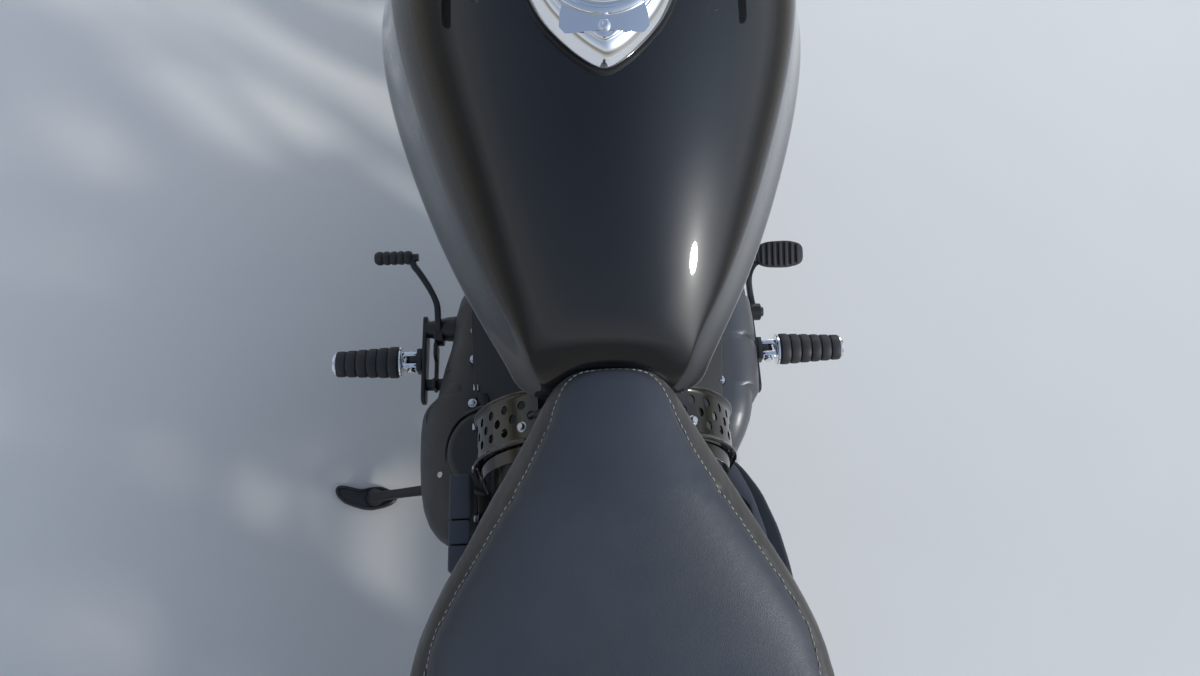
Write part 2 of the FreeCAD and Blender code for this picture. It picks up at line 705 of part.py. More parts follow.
barrel_shape = barrel()
head_shape = head_and_rocker()
feature("cylinders", Part.makeCompound([on_engine(barrel_shape, 1), on_engine(barrel_shape, -1)]))
feature("cylinder_heads", Part.makeCompound([on_engine(head_shape, 1), on_engine(head_shape, -1)]))

# Left cover: primary case with the clutch dome behind


def slot_outline(x1, z1, r1, x2, z2, r2):
    """The outline round two circles, in X and Z."""
    return belt_outline((x1, z1, r1), (x2, z2, r2), 0)


left = plate_xz(slot_outline(622, 322, 112, 800, 325, 92), S.caseLeft, S.caseLeft + 43)
left = left.fuse(rod(Vector(622, S.caseLeft + 40, 322), Vector(622, 214, 322), 98))
left = left.fuse(Part.makeCone(98, 88, 8, Vector(622, 214, 322), Y))
left = left.fuse(rod(Vector(812, S.caseLeft + 40, 330), Vector(812, S.caseLeft + 52, 330), 66))
feature("left_cover", left.removeSplitter())

# Right cover: timing case with two bulges over the gears

right = plate_xz(slot_outline(690, 335, 84, 835, 335, 92), -S.caseRight - 42, -S.caseRight)
for x, z, radius, low in ((718, 372, 37, 206), (783, 378, 37, 212), (822, 300, 62, 206)):
    right = right.fuse(rod(Vector(x, -S.caseRight - 40, z), Vector(x, -low, z), radius))
feature("right_cover", right.removeSplitter())

# Intake between the heads, under the tank

portHeight = S.deckHeight + S.barrelLength + 0.45 * S.headLength
portX = portHeight * math.sin(v) - (S.coreWidth + 8) / 2 * math.cos(v)
portZ = S.crankZ + portHeight * math.cos(v) + (S.coreWidth + 8) / 2 * math.sin(v)
intake = rod(Vector(S.crankX - portX, 0, portZ), Vector(S.crankX + portX, 0, portZ), 24)
intake = intake.fuse(Part.makeBox(120, 130, 70, Vector(S.crankX - 60, -65, portZ + 10)))
for side in (1, -1):
    block = plate_xy(octagon(S.finWidth + 2 * S.seatGap, 26), S.deckHeight, S.deckHeight + 300)
    intake = intake.cut(on_engine(block, side))
feature("intake", intake.removeSplitter())

# Exhaust on the right: two headers into one muffler

portTop = S.deckHeight + S.barrelLength + 35
portOut = S.finWidth / 2 + S.seatGap
frontPort = Vector(S.crankX + portTop * math.sin(v) + portOut * math.cos(v), 0,
                   S.crankZ + portTop * math.cos(v) - portOut * math.sin(v))
frontOut = Vector(math.cos(v), 0, -math.sin(v))
FRONT_HEADER = [tuple(frontPort), tuple(frontPort + frontOut * 46), (1064, -70, 486), (1062, -146, 400),
                (1010, -176, 230), (930, -186, 192), (560, -196, 192), (430, -204, 230)]
rearPort = Vector(2 * S.crankX - frontPort.x, 0, frontPort.z)
rearOut = Vector(-frontOut.x, 0, frontOut.z)
REAR_HEADER = [tuple(rearPort), tuple(rearPort + rearOut * 42), (524, -52, 466), (522, -104, 402), (528, -154, 370),
               (514, -190, 306), (470, -203, 238), (426, -204, 232)]
headers = tube(FRONT_HEADER, S.headerRadius, 60).fuse(tube(REAR_HEADER, S.headerRadius, 60))
for port, out in ((frontPort, frontOut), (rearPort, rearOut)):
    headers = headers.fuse(rod(port, port + out * 9, S.headerRadius + 10))
feature("exhaust_headers", headers.removeSplitter())

MUFFLER = [(0, 0), (34, 0), (46, 90), (48, 300), (46, 560), (40, 600), (40, 608), (0, 608)]
muffler = face_of(MUFFLER)
muffler.rotate(Vector(), X, 90)
muffler = muffler.revolve(Vector(), Z, 360)
muffler = muffler.cut(Part.makeCylinder(33, 60, Vector(0, 0, 560), Z))
muffler.Placement = along(Vector(428, -205, 234), Vector(-600, 0, 12))
muffler = muffler.cut(rod(Vector(440, -204, 232), Vector(400, -204, 232), 24))
muffler = muffler.fuse(Part.makeBox(30, 60, 8, Vector(60, -190, 277))).fuse(
    Part.makeBox(30, 8, 40, Vector(60, -armOut - S.seatGap - 8, 277)))
feature("muffler", muffler.removeSplitter())

# Fuel tank: sections across the machine, with a tunnel for the backbone

TANK = [
    # x, half width, height of the widest line, top, bottom
    (560, 50, 775, 795, 750),
    (620, 98, 775, 842, 750),
    (700, 137, 785, 890, 750),
    (790, 166, 797, 926, 750),
    (885, 189, 808, 946, 752),
    (980, 176, 816, 952, 758),
    (1060, 138, 824, 945, 772),
    (1112, 84, 836, 918, 790),
]


def tank_section(x, half, wide, top, bottom):
    """A crown arc between two side arcs, straight flanks under them."""
    rise = top - wide
    spot = lambda y, z: Vector(x, y, z)
    corner = (0.6 * half, wide + 0.84 * rise)
    knuckle = (0.93 * half, wide + 0.46 * rise)
    base = 0.86 * half
    edges = [
        Part.Arc(spot(half, wide), spot(*knuckle), spot(*corner)),
        Part.Arc(spot(*corner), spot(0, top), spot(-corner[0], corner[1])),
        Part.Arc(spot(-corner[0], corner[1]), spot(-knuckle[0], knuckle[1]), spot(-half, wide)),
        Part.LineSegment(spot(-half, wide), spot(-base, bottom)),
        Part.LineSegment(spot(-base, bottom), spot(base, bottom)),
        Part.LineSegment(spot(base, bottom), spot(half, wide))]
    return Part.Wire([e.toShape() for e in edges])


tank = ribbed_loft([tank_section(*row) for row in TANK])
tunnel = Part.makeBox(640, 76, 110, Vector(520, -38, 706))
NOTCH = [(500, -90), (564, -74), (577, -57), ("via", 593, 0), (577, 57), (564, 74), (500, 90)]
tank_shape = tank.cut(tunnel).cut(plate_xy(NOTCH, 700, 1000))
feature("fuel_tank", tank_shape)

# Console: a shield in plan, its underside on the tank, and the fuel cap

CONSOLE = [(754, 0), ("via", 759, 13), (772, 28), ("via", 798, 49), (836, 62), ("via", 925, 64), (1010, 50),
           ("via", 1048, 30), (1056, 0), ("via", 1048, -30), (1010, -50), ("via", 925, -64), (836, -62),
           ("via", 798, -49), (772, -28), ("via", 759, -13)]
CONSOLE_TOP = [(700, 860), (700, 908), ("via", 860, 963), (1100, 958), (1100, 860)]
console = plate_xy(CONSOLE, 860, 1000).common(plate_xz(CONSOLE_TOP, -100, 100)).cut(tank)
console.translate(Vector(0, 0, S.seatGap))
feature("console", console)



def on_console(label, radius, x, low, high):
    """A round piece whose underside follows the console."""
    piece = Part.makeCylinder(radius, high - low, Vector(x, 0, low), Z).cut(console.copy())
    feature(label, max(piece.Solids, key=lambda solid: solid.CenterOfMass.z))


on_console("fuel_cap", S.capRadius, S.capX, 944, 970)
on_console("speedometer", S.dialRadius, S.dialX, 955, 992)

# Rider's seat and pillion pad

SEAT = [
    # x, half width, side height, top, bottom
    (582, 44, 778, 800, 766),
    (536, 64, 758, 790, 738),
    (470, 110, 728, 768, 706),
    (400, 152, 700, 738, 680),
    (330, 170, 690, 716, 660),
    (262, 170, 692, 714, 658),
    (205, 148, 706, 742, 672),
]


def seat_section(x, half, side, top, bottom):
    spot = lambda y, z: Vector(x, y, z)
    corner = (0.78 * half, side + 0.85 * (top - side))
    knuckle = (0.95 * half, side + 0.5 * (top - side))
    edges = [
        Part.Arc(spot(half, side), spot(*knuckle), spot(*corner)),
        Part.Arc(spot(*corner), spot(0, top), spot(-corner[0], corner[1])),
        Part.Arc(spot(-corner[0], corner[1]), spot(-knuckle[0], knuckle[1]), spot(-half, side)),
        Part.LineSegment(spot(-half, side), spot(-0.9 * half, bottom)),
        Part.LineSegment(spot(-0.9 * half, bottom), spot(0.9 * half, bottom)),
        Part.LineSegment(spot(0.9 * half, bottom), spot(half, side))]
    return Part.Wire([e.toShape() for e in edges])


seatBase = 664 + S.seatGap
seat = ribbed_loft([seat_section(*row) for row in SEAT])
seat = seat.cut(Part.makeBox(300, 400, 100, Vector(150, -200, seatBase - 100)))
feature("rider_seat", seat)

fenderIn = S.rearTyreRadius + S.fenderGap + 8
fenderOut = fenderIn + S.fenderThick
pillionBase = S.rearTyreRadius + fenderOut
PILLION = [
    # x, half width, side height, top, bottom
    (180, 88, pillionBase + 26, pillionBase + 48, pillionBase - 134),
    (120, 104, pillionBase + 34, pillionBase + 62, pillionBase - 134),
    (0, 106, pillionBase + 40, pillionBase + 66, pillionBase - 134),
    (-110, 92, pillionBase + 28, pillionBase + 50, pillionBase - 134),
]
pillion = ribbed_loft([seat_section(*row) for row in PILLION])
pillion = pillion.cut(Part.makeCylinder(fenderOut + S.seatGap, 400, Vector(0, -200, S.rearTyreRadius), Y))
pillion = pillion.common(Part.makeBox(500, 300, 200, Vector(-200, -150, pillionBase - 26)))
feature("pillion_pad", max(pillion.Solids, key=lambda s: s.Volume))

# Fenders: a channel section turned about the wheel's axle


def fender(inner, thick, half, shoulder, skirt, start, sweep):
    outer = inner + thick
    flat = half - shoulder
    profile = [
        (skirt, half), (outer - shoulder, half), (outer - 3, flat), (outer, 0), (outer - 3, -flat),
        (outer - shoulder, -half), (skirt, -half), (skirt, thick - half), (inner - shoulder, thick - half),
        (inner - 3, -flat), (inner, 0), (inner - 3, flat), (inner - shoulder, half - thick), (skirt, half - thick)]
    return turned_y(profile, sweep, start)


feature("rear_fender", fender(fenderIn, S.fenderThick, S.rearFenderWidth / 2, 24, fenderIn - S.rearSkirt, 28, 150), REAR)

frontIn = S.frontTyreRadius + S.frontFenderGap
halfFront = S.frontFenderWidth / 2
footAt = frontIn - S.frontSkirt + 14
front_fender = fender(frontIn, 3, halfFront, 18, frontIn - S.frontSkirt, 6, 114)
for side in (1, -1):
    foot = Vector(0, side * (halfFront - 2), footAt)
    front_fender = front_fender.fuse(rod(foot, Vector(0, side * (sliderIn - S.seatGap), footAt), 12))
feature("front_fender", front_fender, STEER)

# Fork: sliders, tubes and clamps in the steering frame


def on_leg(side, low, high, radius):
    return rod(Vector(0, side * S.legSpread, low), Vector(0, side * S.legSpread, high), radius)


legs = []
for side in (1, -1):
    leg = on_leg(side, S.sliderBottom, S.sliderTop, S.sliderRadius)
    leg = leg.cut(on_leg(side, 60, S.sliderTop + 1, S.tubeRadius + S.seatGap))
    leg = leg.cut(rod(Vector(0, side * 20, 0), Vector(0, side * 200, 0), S.axleRadius + S.seatGap))
    legs.append(leg)
feature("fork_sliders", Part.makeCompound(legs), STEER)
feature("fork_tubes", Part.makeCompound(
    [on_leg(side, 60 + S.seatGap, S.tubeTop, S.tubeRadius) for side in (1, -1)]), STEER)

CLAMP = [(28, -S.legSpread), ("via", 0, -S.legSpread - 31), (-28, -S.legSpread + 8), (-axleOffset - 34, -28),
         ("via", -axleOffset - 42, 0), (-axleOffset - 34, 28), (-28, S.legSpread - 8), ("via", 0, S.legSpread + 31),
         (28, S.legSpread), (18, 40), (18, -40)]
clamps = plate_xy(CLAMP, S.lowerClampBottom, S.headBottom - S.seatGap)
clamps = clamps.fuse(plate_xy(CLAMP, S.headTop + S.seatGap, S.upperClampTop))
clamps = clamps.fuse(Part.makeCylinder(S.stemRadius, S.upperClampTop - S.lowerClampBottom + 8,
                                       Vector(-axleOffset, 0, S.lowerClampBottom), Z))
barCentre = Vector(*steered(1194, 0, 916))
riserHalf = 32
for side in (1, -1):
    riser = Part.makeCylinder(17, barCentre.z - S.upperClampTop + 4, Vector(barCentre.x, side * riserHalf, S.upperClampTop - 4), Z)
    riser = riser.fuse(rod(Vector(barCentre.x, side * (riserHalf - 12), barCentre.z),
                           Vector(barCentre.x, side * (riserHalf + 12), barCentre.z), 21))
    riser = riser.cut(rod(Vector(barCentre.x, side * 8, barCentre.z), Vector(barCentre.x, side * 60, barCentre.z),
                          S.barRadius + S.seatGap))
    clamps = clamps.fuse(riser)
    clamps = clamps.cut(on_leg(side, 300, 700, S.tubeRadius + S.seatGap))
feature("fork_clamps", clamps.removeSplitter(), STEER)

BAR = [(1194, 0, 916), (1194, 66, 916), (1162, 190, 1004), (1040, 268, 1033), (925, 411, 1020)]
half_bar = [steered(*p) for p in BAR]
bar_points = [(x, -y, z) for x, y, z in reversed(half_bar[1:])] + half_bar[1:]
feature("handlebar", tube(bar_points, S.barRadius, 55), STEER)

gripInner = Vector(*half_bar[3])
gripOuter = Vector(*half_bar[4])
gripRun = (gripOuter - gripInner).normalize()
gripLength = 118
gripEnd = gripOuter + gripRun * 4
gripStart = gripEnd - gripRun * gripLength
grip = rod(gripStart, gripEnd, S.gripRadius).fuse(rod(gripStart, gripStart + gripRun * 5, S.gripRadius + 5))
grip = grip.cut(rod(gripStart - gripRun * 10, gripOuter + gripRun * S.seatGap, S.barRadius + S.seatGap))
feature("grips", Part.makeCompound(both(grip)), STEER)

# Control levers, switch pods and mirrors on the bar

ahead = gripRun.cross(Z).normalize()
if ahead.x < 0:
    ahead = ahead * -1
over = ahead.cross(gripRun)
if over.z < 0:
    over = over * -1
perchStart = gripStart - gripRun * 34
perch = rod(perchStart, perchStart + gripRun * 30, 22)
perch = perch.fuse(rod(perchStart + gripRun * 10 + ahead * 10, perchStart + gripRun * 14 + ahead * 52, 10))
blade = [perchStart + gripRun * 6 + ahead * 50, perchStart + gripRun * 50 + ahead * 66,
         gripEnd - gripRun * 30 + ahead * 60, gripEnd - gripRun * 4 + ahead * 66]
perch = perch.fuse(tube([tuple(p) for p in blade], 6.5, 60))
perch = perch.cut(rod(perchStart - gripRun * 30, gripEnd, S.barRadius + S.seatGap))
feature("control_levers", Part.makeCompound(both(perch.removeSplitter())), STEER)

mirrorFoot = perchStart + gripRun * 15 + over * (22 + S.seatGap)
mirrorTop = mirrorFoot + Vector(20, 30, 118)
mirror = tube([tuple(mirrorFoot), tuple(mirrorFoot + over * 50), tuple(mirrorTop)], 5.5, 40)
glassPlace = along(mirrorTop + Vector(16, 8, 10), STEER.inverse().Rotation.multVec(Vector(1, 0.1, 0)))
shell = Part.makeCone(62, 40, 26, Vector(), Z)
shell.Placement = glassPlace
mirror = mirror.fuse(shell)
feature("mirrors", Part.makeCompound(both(mirror.removeSplitter())), STEER)

# Headlight on the clamps, with the front indicators on its bracket

lampCentre = Vector(S.lampAhead - axleOffset, 0, S.lampRise)
forward = STEER.inverse().Rotation.multVec(X)
LAMP = [(0, -78), (34, -73), (62, -56), (82, -28), (92, 10), (95, 50), (95, 66), (87, 70), (50, 79), (0, 82)]


def lamp_body(grow):
    """The lamp's outline turned about its own axis, grown by a gap where a seat is cut."""
    outline = [(0, LAMP[0][1] - grow)] + [(r + grow, z) for r, z in LAMP[1:-1]] + [(0, LAMP[-1][1] + grow)]
    body = face_of(outline)
    body.rotate(Vector(), X, 90)
    body = body.revolve(Vector(), Z, 360)
    body.Placement = along(lampCentre, forward)
    return body


feature("headlight", lamp_body(0), STEER)

under = STEER.inverse().Rotation.multVec(Z) * -1
hang = lampCentre + forward * 30 + under * 106
clampFace = Vector(18 + S.seatGap, 0, S.lowerClampBottom + 20)
bracket = rod(clampFace, clampFace + X * 16, 11)
bracket = bracket.fuse(Part.makeSphere(11, clampFace + X * 16))
bracket = bracket.fuse(rod(clampFace + X * 16, hang, 9))
bracket = bracket.fuse(rod(hang, hang - under * 30, 14)).cut(lamp_body(S.seatGap))
bracket = max(bracket.Solids, key=lambda s: s.Volume)
bracket = bracket.fuse(rod(hang - Y * S.indicatorOut, hang + Y * S.indicatorOut, 8))
for side in (1, -1):
    pod = hang + Y * side * (S.indicatorOut + 20)
    bracket = bracket.fuse(rod(pod - forward * 26, pod + forward * 26, 30))
feature("front_indicators", bracket.removeSplitter(), STEER)

# Calipers

caliper = Part.makeBox(62, 44, 78, Vector(-122, 38, 42))
caliper = caliper.cut(Part.makeCylinder(S.frontDiscRadius + 4, S.discThick + 2 * S.padGap,
                                        Vector(0, S.frontDiscPlace - S.padGap, 0), Y))
caliper = max(caliper.Solids, key=lambda s: s.Volume)
lug = Part.makeBox(70, S.legSpread - 70, 30, Vector(-80, 70, 66))
caliper = caliper.fuse(lug.cut(on_leg(1, 0, 200, S.sliderRadius + S.seatGap)))
feature("front_caliper", caliper.removeSplitter(), STEER)

rear_caliper = Part.makeBox(66, 30, 50, Vector(58, -104, 62))
rear_caliper = rear_caliper.cut(Part.makeCylinder(S.rearDiscRadius + 4, S.discThick + 2 * S.padGap,
                                                  Vector(0, -S.rearDiscPlace - S.discThick - S.padGap, 0), Y))
rear_caliper = max(rear_caliper.Solids, key=lambda s: s.Volume)
rear_caliper = rear_caliper.fuse(Part.makeBox(66, -S.seatGap + armIn - 100, 100, Vector(58, -armIn + S.seatGap, 12)))
feature("rear_caliper", rear_caliper.removeSplitter(), REAR)

# Covers at the sides

BOX = [(476, 330), (508, 330), (508, 440), (582, 440), (582, 482), (476, 482)]
boxIn = S.uprightSpread + S.frameTube + S.seatGap
feature("electrics_box", plate_xz(BOX, boxIn, boxIn + 32))

SIDE = [(575, -100), (575, -112), (542, -150), (468, -174), (400, -180), (400, -boxIn), (520, -boxIn), (550, -112), (550, -100)]
feature("side_cover", plate_xy(SIDE, 430, coverHeight - S.coverSkirt - 14))

batteryLow = pivotZ + 80
battery = Part.makeBox(104, 184, S.batteryTop - batteryLow, Vector(S.rearTyreRadius + S.batteryGap, -92, batteryLow))
for side in (1, -1):
    battery = battery.fuse(rod(Vector(452, side * 80, 590), Vector(452, side * 98, 590), 10))
feature("battery_box", battery.removeSplitter())

# Perforated covers behind the tank


def perforated_cover():
    """A bent sheet with three rows of round holes."""
    start = Vector(S.coverBack, S.coverMiddle, coverHeight)
    bend = Part.makeCylinder(S.coverBend, S.coverLength, start, X)
    bend = bend.cut(Part.makeCylinder(S.coverBend - S.coverSheet, S.coverLength, start, X))
    bend = bend.common(Part.makeBox(S.coverLength, S.coverBend, S.coverBend, start))
    skirt = Part.makeBox(S.coverLength, S.coverSheet, S.coverSkirt,
                         start + Y * (S.coverBend - S.coverSheet) - Z * S.coverSkirt)
    bend = bend.fuse(skirt)
    for row, angle in enumerate((18, 42, 66)):
        way = Vector(0, math.cos(math.radians(angle)), math.sin(math.radians(angle)))
        for hole in range(4):
            middle = start + X * (8 + hole * 14 + (row % 2) * 3)
            bend = bend.cut(rod(middle + way * 30, middle + way * (S.coverBend + 10), S.coverHole))
    return bend.removeSplitter()


feature("perforated_covers", Part.makeCompound(both(perforated_cover())))

# Side stand


def side_stand():
    """A clevis on the lug, a leg and a leaf-shaped foot that lies flat on the ground."""
    inverse = STAND.inverse()
    ear_low = lugHalf + S.seatGap
    shape = Part.makeCylinder(16, S.standEar, Vector(0, 0, ear_low), Z)
    shape = shape.fuse(Part.makeCylinder(16, S.standEar, Vector(0, 0, -ear_low - S.standEar), Z))
    for low in (ear_low, -ear_low - S.standEar):
        shape = shape.fuse(Part.makeBox(44, 32, S.standEar, Vector(0, -16, low)))
    shape = shape.fuse(Part.makeBox(20, 32, 2 * (ear_low + S.standEar), Vector(26, -16, -ear_low - S.standEar)))
    shape = shape.fuse(Part.makeCylinder(S.standPin, 2 * (ear_low + S.standEar) + 6,
                                         Vector(0, 0, -ear_low - S.standEar - 3), Z))
    foot_machine = Vector(S.standPivotX, S.standFootY, standFootZ)
    foot = inverse.multVec(foot_machine)
    ground_up = inverse.Rotation.multVec(Rotation(X, S.leanAngle).multVec(Z))
    knee_point = Vector(40, 0, 0)
    leg_end = foot + ground_up * 9
    shape = shape.fuse(rod(knee_point, leg_end, 10))
    return shape, foot, ground_up


stand_shape, foot_local, up_local = side_stand()
FOOT = [(-11, -40), ("via", 0, -50), (11, -40), (21, 6), (8, 44), ("via", 0, 50), (-8, 44), (-21, 6)]
foot_plate = plate_xy(FOOT, 0, 7)
foot_plate.Placement = STAND.inverse().multiply(
    Placement(Vector(S.standPivotX, S.standFootY, standFootZ), Rotation(X, S.leanAngle)))
feature("side_stand", stand_shape.fuse(foot_plate).removeSplitter(), STAND)

# Pegs, their mounts and the foot controls

mountX = (735, 848)


def peg_mount():
    """A bar outside the engine with bosses behind it and a clevis in front."""
    out = 222
    shape = Part.makeBox(mountX[1] - mountX[0], 10, 36, Vector(mountX[0], out - 10, S.pegZ - 20))
    for low in (-S.pegTongue / 2 - S.seatGap - S.pegEar, S.pegTongue / 2 + S.seatGap):
        ear = Part.makeBox(S.pegEar, S.pegPivot + 9 - out, 22, Vector(S.pegX + low, out, S.pegZ - 12))
        shape = shape.fuse(ear)
    shape = shape.cut(rod(Vector(S.pegX - 30, S.pegPivot, S.pegZ), Vector(S.pegX + 30, S.pegPivot, S.pegZ),
                          S.pegPin + S.runGap))
    return shape


left_mount = peg_mount()
right_mount = mirrored(left_mount)
for x in (mountX[0] + 12, mountX[1] - 14):
    left_mount = left_mount.fuse(rod(Vector(x, S.caseLeft + 43 + S.seatGap, 322), Vector(x, 214, 322), 8))
    right_mount = right_mount.fuse(rod(Vector(x, -S.caseRight - 42 - S.seatGap, 322), Vector(x, -214, 322), 8))
left_mount = left_mount.cut(rod(Vector(812, 0, 330), Vector(812, S.caseLeft + 52 + S.seatGap, 330), 66.3))
right_mount = right_mount.cut(rod(Vector(822, 0, 300), Vector(822, -206 - S.seatGap, 300), 62.3))
feature("peg_mounts", Part.makeCompound([left_mount.removeSplitter(), right_mount.removeSplitter()]))


def foot_peg():
    """A tongue on its pin, then a ribbed rubber with domed end, along Y from the hinge."""
    shape = Part.makeBox(S.pegTongue, 26, 16, Vector(-S.pegTongue / 2, -8, -8))
    shape = shape.fuse(rod(Vector(-S.pegTongue / 2 - S.pegEar - 3, 0, 0), Vector(S.pegTongue / 2 + S.pegEar + 3, 0, 0), S.pegPin))
    base = S.pegReach - S.pegPivot
    shape = shape.fuse(rod(Vector(0, 15, 0), Vector(0, 18, 0), S.pegRadius + 1))
    shape = shape.fuse(Part.makeCone(S.pegRadius, S.pegTip, base - 25, Vector(0, 18, 0), Y))
    shape = shape.fuse(Part.makeCone(S.pegTip, S.pegTip - 9, 7, Vector(0, base - 7, 0), Y))
    return shape.removeSplitter()


feature("foot_peg_left", foot_peg(), at(S.pegX, S.pegPivot, S.pegZ))
feature("foot_peg_right", mirrored(foot_peg()), at(S.pegX, -S.pegPivot, S.pegZ))


def lever_arm(boss, boss_end, path):
    """A boss and a round arm that leaves it along a path."""
    return rod(Vector(*boss), Vector(*boss_end), 12).fuse(tube(path, S.leverRadius, 30))


shiftIn = S.caseLeft + 52 + S.seatGap
shift = lever_arm((812, shiftIn, 330), (812, shiftIn + 12, 330),
                  [(812, shiftIn + 6, 330), (828, shiftIn + 6, 347), (852, shiftIn + 7, 354),
                   (886, 222, 367), (906, 238, S.pedalHeight)])
shift = shift.fuse(rod(Vector(906, 236, S.pedalHeight), Vector(906, 284, S.pedalHeight), S.shiftRubber))
feature("shift_lever", shift.removeSplitter())

brakeX = mountX[1] - 14
PAD = [(-30, -11), ("via", -33, 0), (-30, 11), ("via", 0, 17), (30, 11), ("via", 33, 0), (30, -11), ("via", 0, -17)]
brake = lever_arm((brakeX, -222 - S.seatGap, S.pegZ), (brakeX, -238, S.pegZ),
                  [(brakeX, -230, S.pegZ), (864, -230, 336), (884, -228, 362), (896, -235, S.pedalHeight - 3)])
pad_shape = plate_xy(PAD, -9, 0)
for rib in range(-3, 3):
    pad_shape = pad_shape.fuse(plate_xy([(rib * 8 + 2, -14), (rib * 8 + 6, -14), (rib * 8 + 6, 14), (rib * 8 + 2, 14)],
                                        0, 2))
pad_shape.Placement = Placement(Vector(900, -256, S.pedalHeight + 6), Rotation(Y, -24).multiply(Rotation(Z, -90)))
feature("brake_pedal", brake.fuse(pad_shape).removeSplitter())

# Tail: lamp and plate bracket on the rear fender

tailAngle = math.radians(150)
tailAt = Vector(fenderOut * math.cos(tailAngle), 0, fenderOut * math.sin(tailAngle))
tail = Part.makeBox(30, 110, 44, Vector(tailAt.x - 34, -55, tailAt.z - 30))
tail = tail.fuse(Part.makeBox(60, 60, 20, Vector(tailAt.x - 20, -30, tailAt.z - 18)))
tail = tail.cut(Part.makeCylinder(fenderOut + S.seatGap, 300, Vector(0, -150, 0), Y))
tail = max(tail.Solids, key=lambda s: s.Volume)
feature("tail_lamp", tail, REAR)

PLATE_HOLES = 177.8
backX = -400
plate_low = 60
bracket = Part.makeBox(S.plateThick, PLATE_HOLES + 22, 104, Vector(backX, -PLATE_HOLES / 2 - 11, plate_low))
stay = Part.makeBox(80, 44, 26, Vector(backX + S.plateThick, -22, plate_low + 60))
bracket = bracket.fuse(stay.cut(Part.makeCylinder(fenderOut + S.seatGap, 300, Vector(0, -150, 0), Y)))
bracket = bracket.removeSplitter()
for side in (1, -1):
    spot = Vector(backX - 5, side * PLATE_HOLES / 2, plate_low + 86)
    bracket = bracket.cut(rod(spot, spot + X * 20, S.plateHole))
feature("plate_bracket", bracket, REAR)

# The whole leans onto its stand, then stands with the middle of its box over the origin

doc.recompute()
LEAN = Placement(Vector(), Rotation(X, -S.leanAngle))
for obj, local in nodes:
    obj.Placement = LEAN.multiply(local)
doc.recompute()
box = FreeCAD.BoundBox()
for obj, local in nodes:
    box.add(obj.Shape.BoundBox)
BASE = Placement(Vector(-box.Center.x, -box.Center.y, 0), Rotation()).multiply(LEAN)
for obj, local in nodes:
    obj.Placement = BASE.multiply(local)
    obj.Label = obj.Name
doc.recompute()

faults = []
for obj in doc.Objects:
    if "Invalid" in obj.State or "Error" in obj.State:
        faults.append("%s is %s" % (obj.Name, obj.State))
for obj, local in nodes:
    if obj.Shape.isNull() or not obj.Shape.isValid():
        faults.append(obj.Name + " has no valid shape")
if faults:
    raise RuntimeError("; ".join(faults))

os.makedirs("parts", exist_ok=True)
for obj, local in nodes:
    obj.Shape.exportStep("parts/%s.step" % obj.Name)
print("nodes", len(nodes))
print("box", [round(n, 1) for n in (box.XLength, box.YLength, box.ZLength)], "lowest", round(box.ZMin, 2))
print("machine origin", [round(n, 4) for n in BASE.Base])
print("stand axis", [round(n, 5) for n in standAxis])
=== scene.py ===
# %% [markdown]
# # A cruiser motorcycle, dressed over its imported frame
#
# The construction of the machine comes as a fixed frame: solids in metres, with the joints that
# move them. This lesson gives each solid the surface that the real product has. Some solids keep
# their shape and get rounded edges and a finish. Others are a start only, and a better piece takes
# their place: the tank, the saddle, the tyres, the lamps, the pegs.
#
# The machine leans on its side stand. It is easier to model upright, so each piece is made in the
# machine's own frame, with X forward from the rear axle, Y to the rider's left and Z up, and a last
# step lays the finished mesh over into its leaning place.

import json
import math

import bmesh
import bpy
from mathutils import Matrix, Vector
from mathutils.kdtree import KDTree

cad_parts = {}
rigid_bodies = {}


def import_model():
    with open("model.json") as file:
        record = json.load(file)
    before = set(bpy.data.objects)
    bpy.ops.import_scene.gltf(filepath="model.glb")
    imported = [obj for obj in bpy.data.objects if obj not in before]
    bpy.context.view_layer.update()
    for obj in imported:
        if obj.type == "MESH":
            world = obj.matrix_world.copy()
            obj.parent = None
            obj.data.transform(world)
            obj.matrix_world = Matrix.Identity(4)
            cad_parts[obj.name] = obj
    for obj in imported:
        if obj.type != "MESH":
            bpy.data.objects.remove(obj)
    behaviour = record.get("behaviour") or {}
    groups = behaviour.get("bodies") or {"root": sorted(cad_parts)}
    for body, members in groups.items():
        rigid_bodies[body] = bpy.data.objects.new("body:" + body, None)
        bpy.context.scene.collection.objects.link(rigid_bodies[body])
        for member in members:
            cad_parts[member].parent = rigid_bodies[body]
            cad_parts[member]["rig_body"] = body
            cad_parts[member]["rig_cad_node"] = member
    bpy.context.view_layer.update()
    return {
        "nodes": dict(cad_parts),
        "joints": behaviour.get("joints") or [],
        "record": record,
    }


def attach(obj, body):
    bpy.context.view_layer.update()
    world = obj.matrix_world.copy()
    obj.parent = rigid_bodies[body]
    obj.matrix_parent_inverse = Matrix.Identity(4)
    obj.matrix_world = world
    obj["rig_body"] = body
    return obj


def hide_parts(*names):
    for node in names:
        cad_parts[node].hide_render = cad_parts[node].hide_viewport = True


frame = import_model()
joints = {joint["name"]: joint for joint in frame["joints"]}

# %% [markdown]
# ## The machine's own frame
#
# The rear wheel's joint says where the rear axle is in the leaning world, and the lean is ten
# degrees about the line of travel. From these two come the matrices that carry a piece from its
# drawing to its place: one for the whole machine, and one for each wheel, which turns a lathe's
# upright axis into the axle.

# %% Matrices from drawing to place
LEAN = math.radians(10)
RAKE = math.radians(31)
REAR_AXLE = Vector((0, 0, 0.323))
FRONT_AXLE = Vector((1.580, 0, 0.331))


def turn(degrees, axis):
    return Matrix.Rotation(math.radians(degrees), 4, axis)


def move(x=0.0, y=0.0, z=0.0):
    return Matrix.Translation((x, y, z))


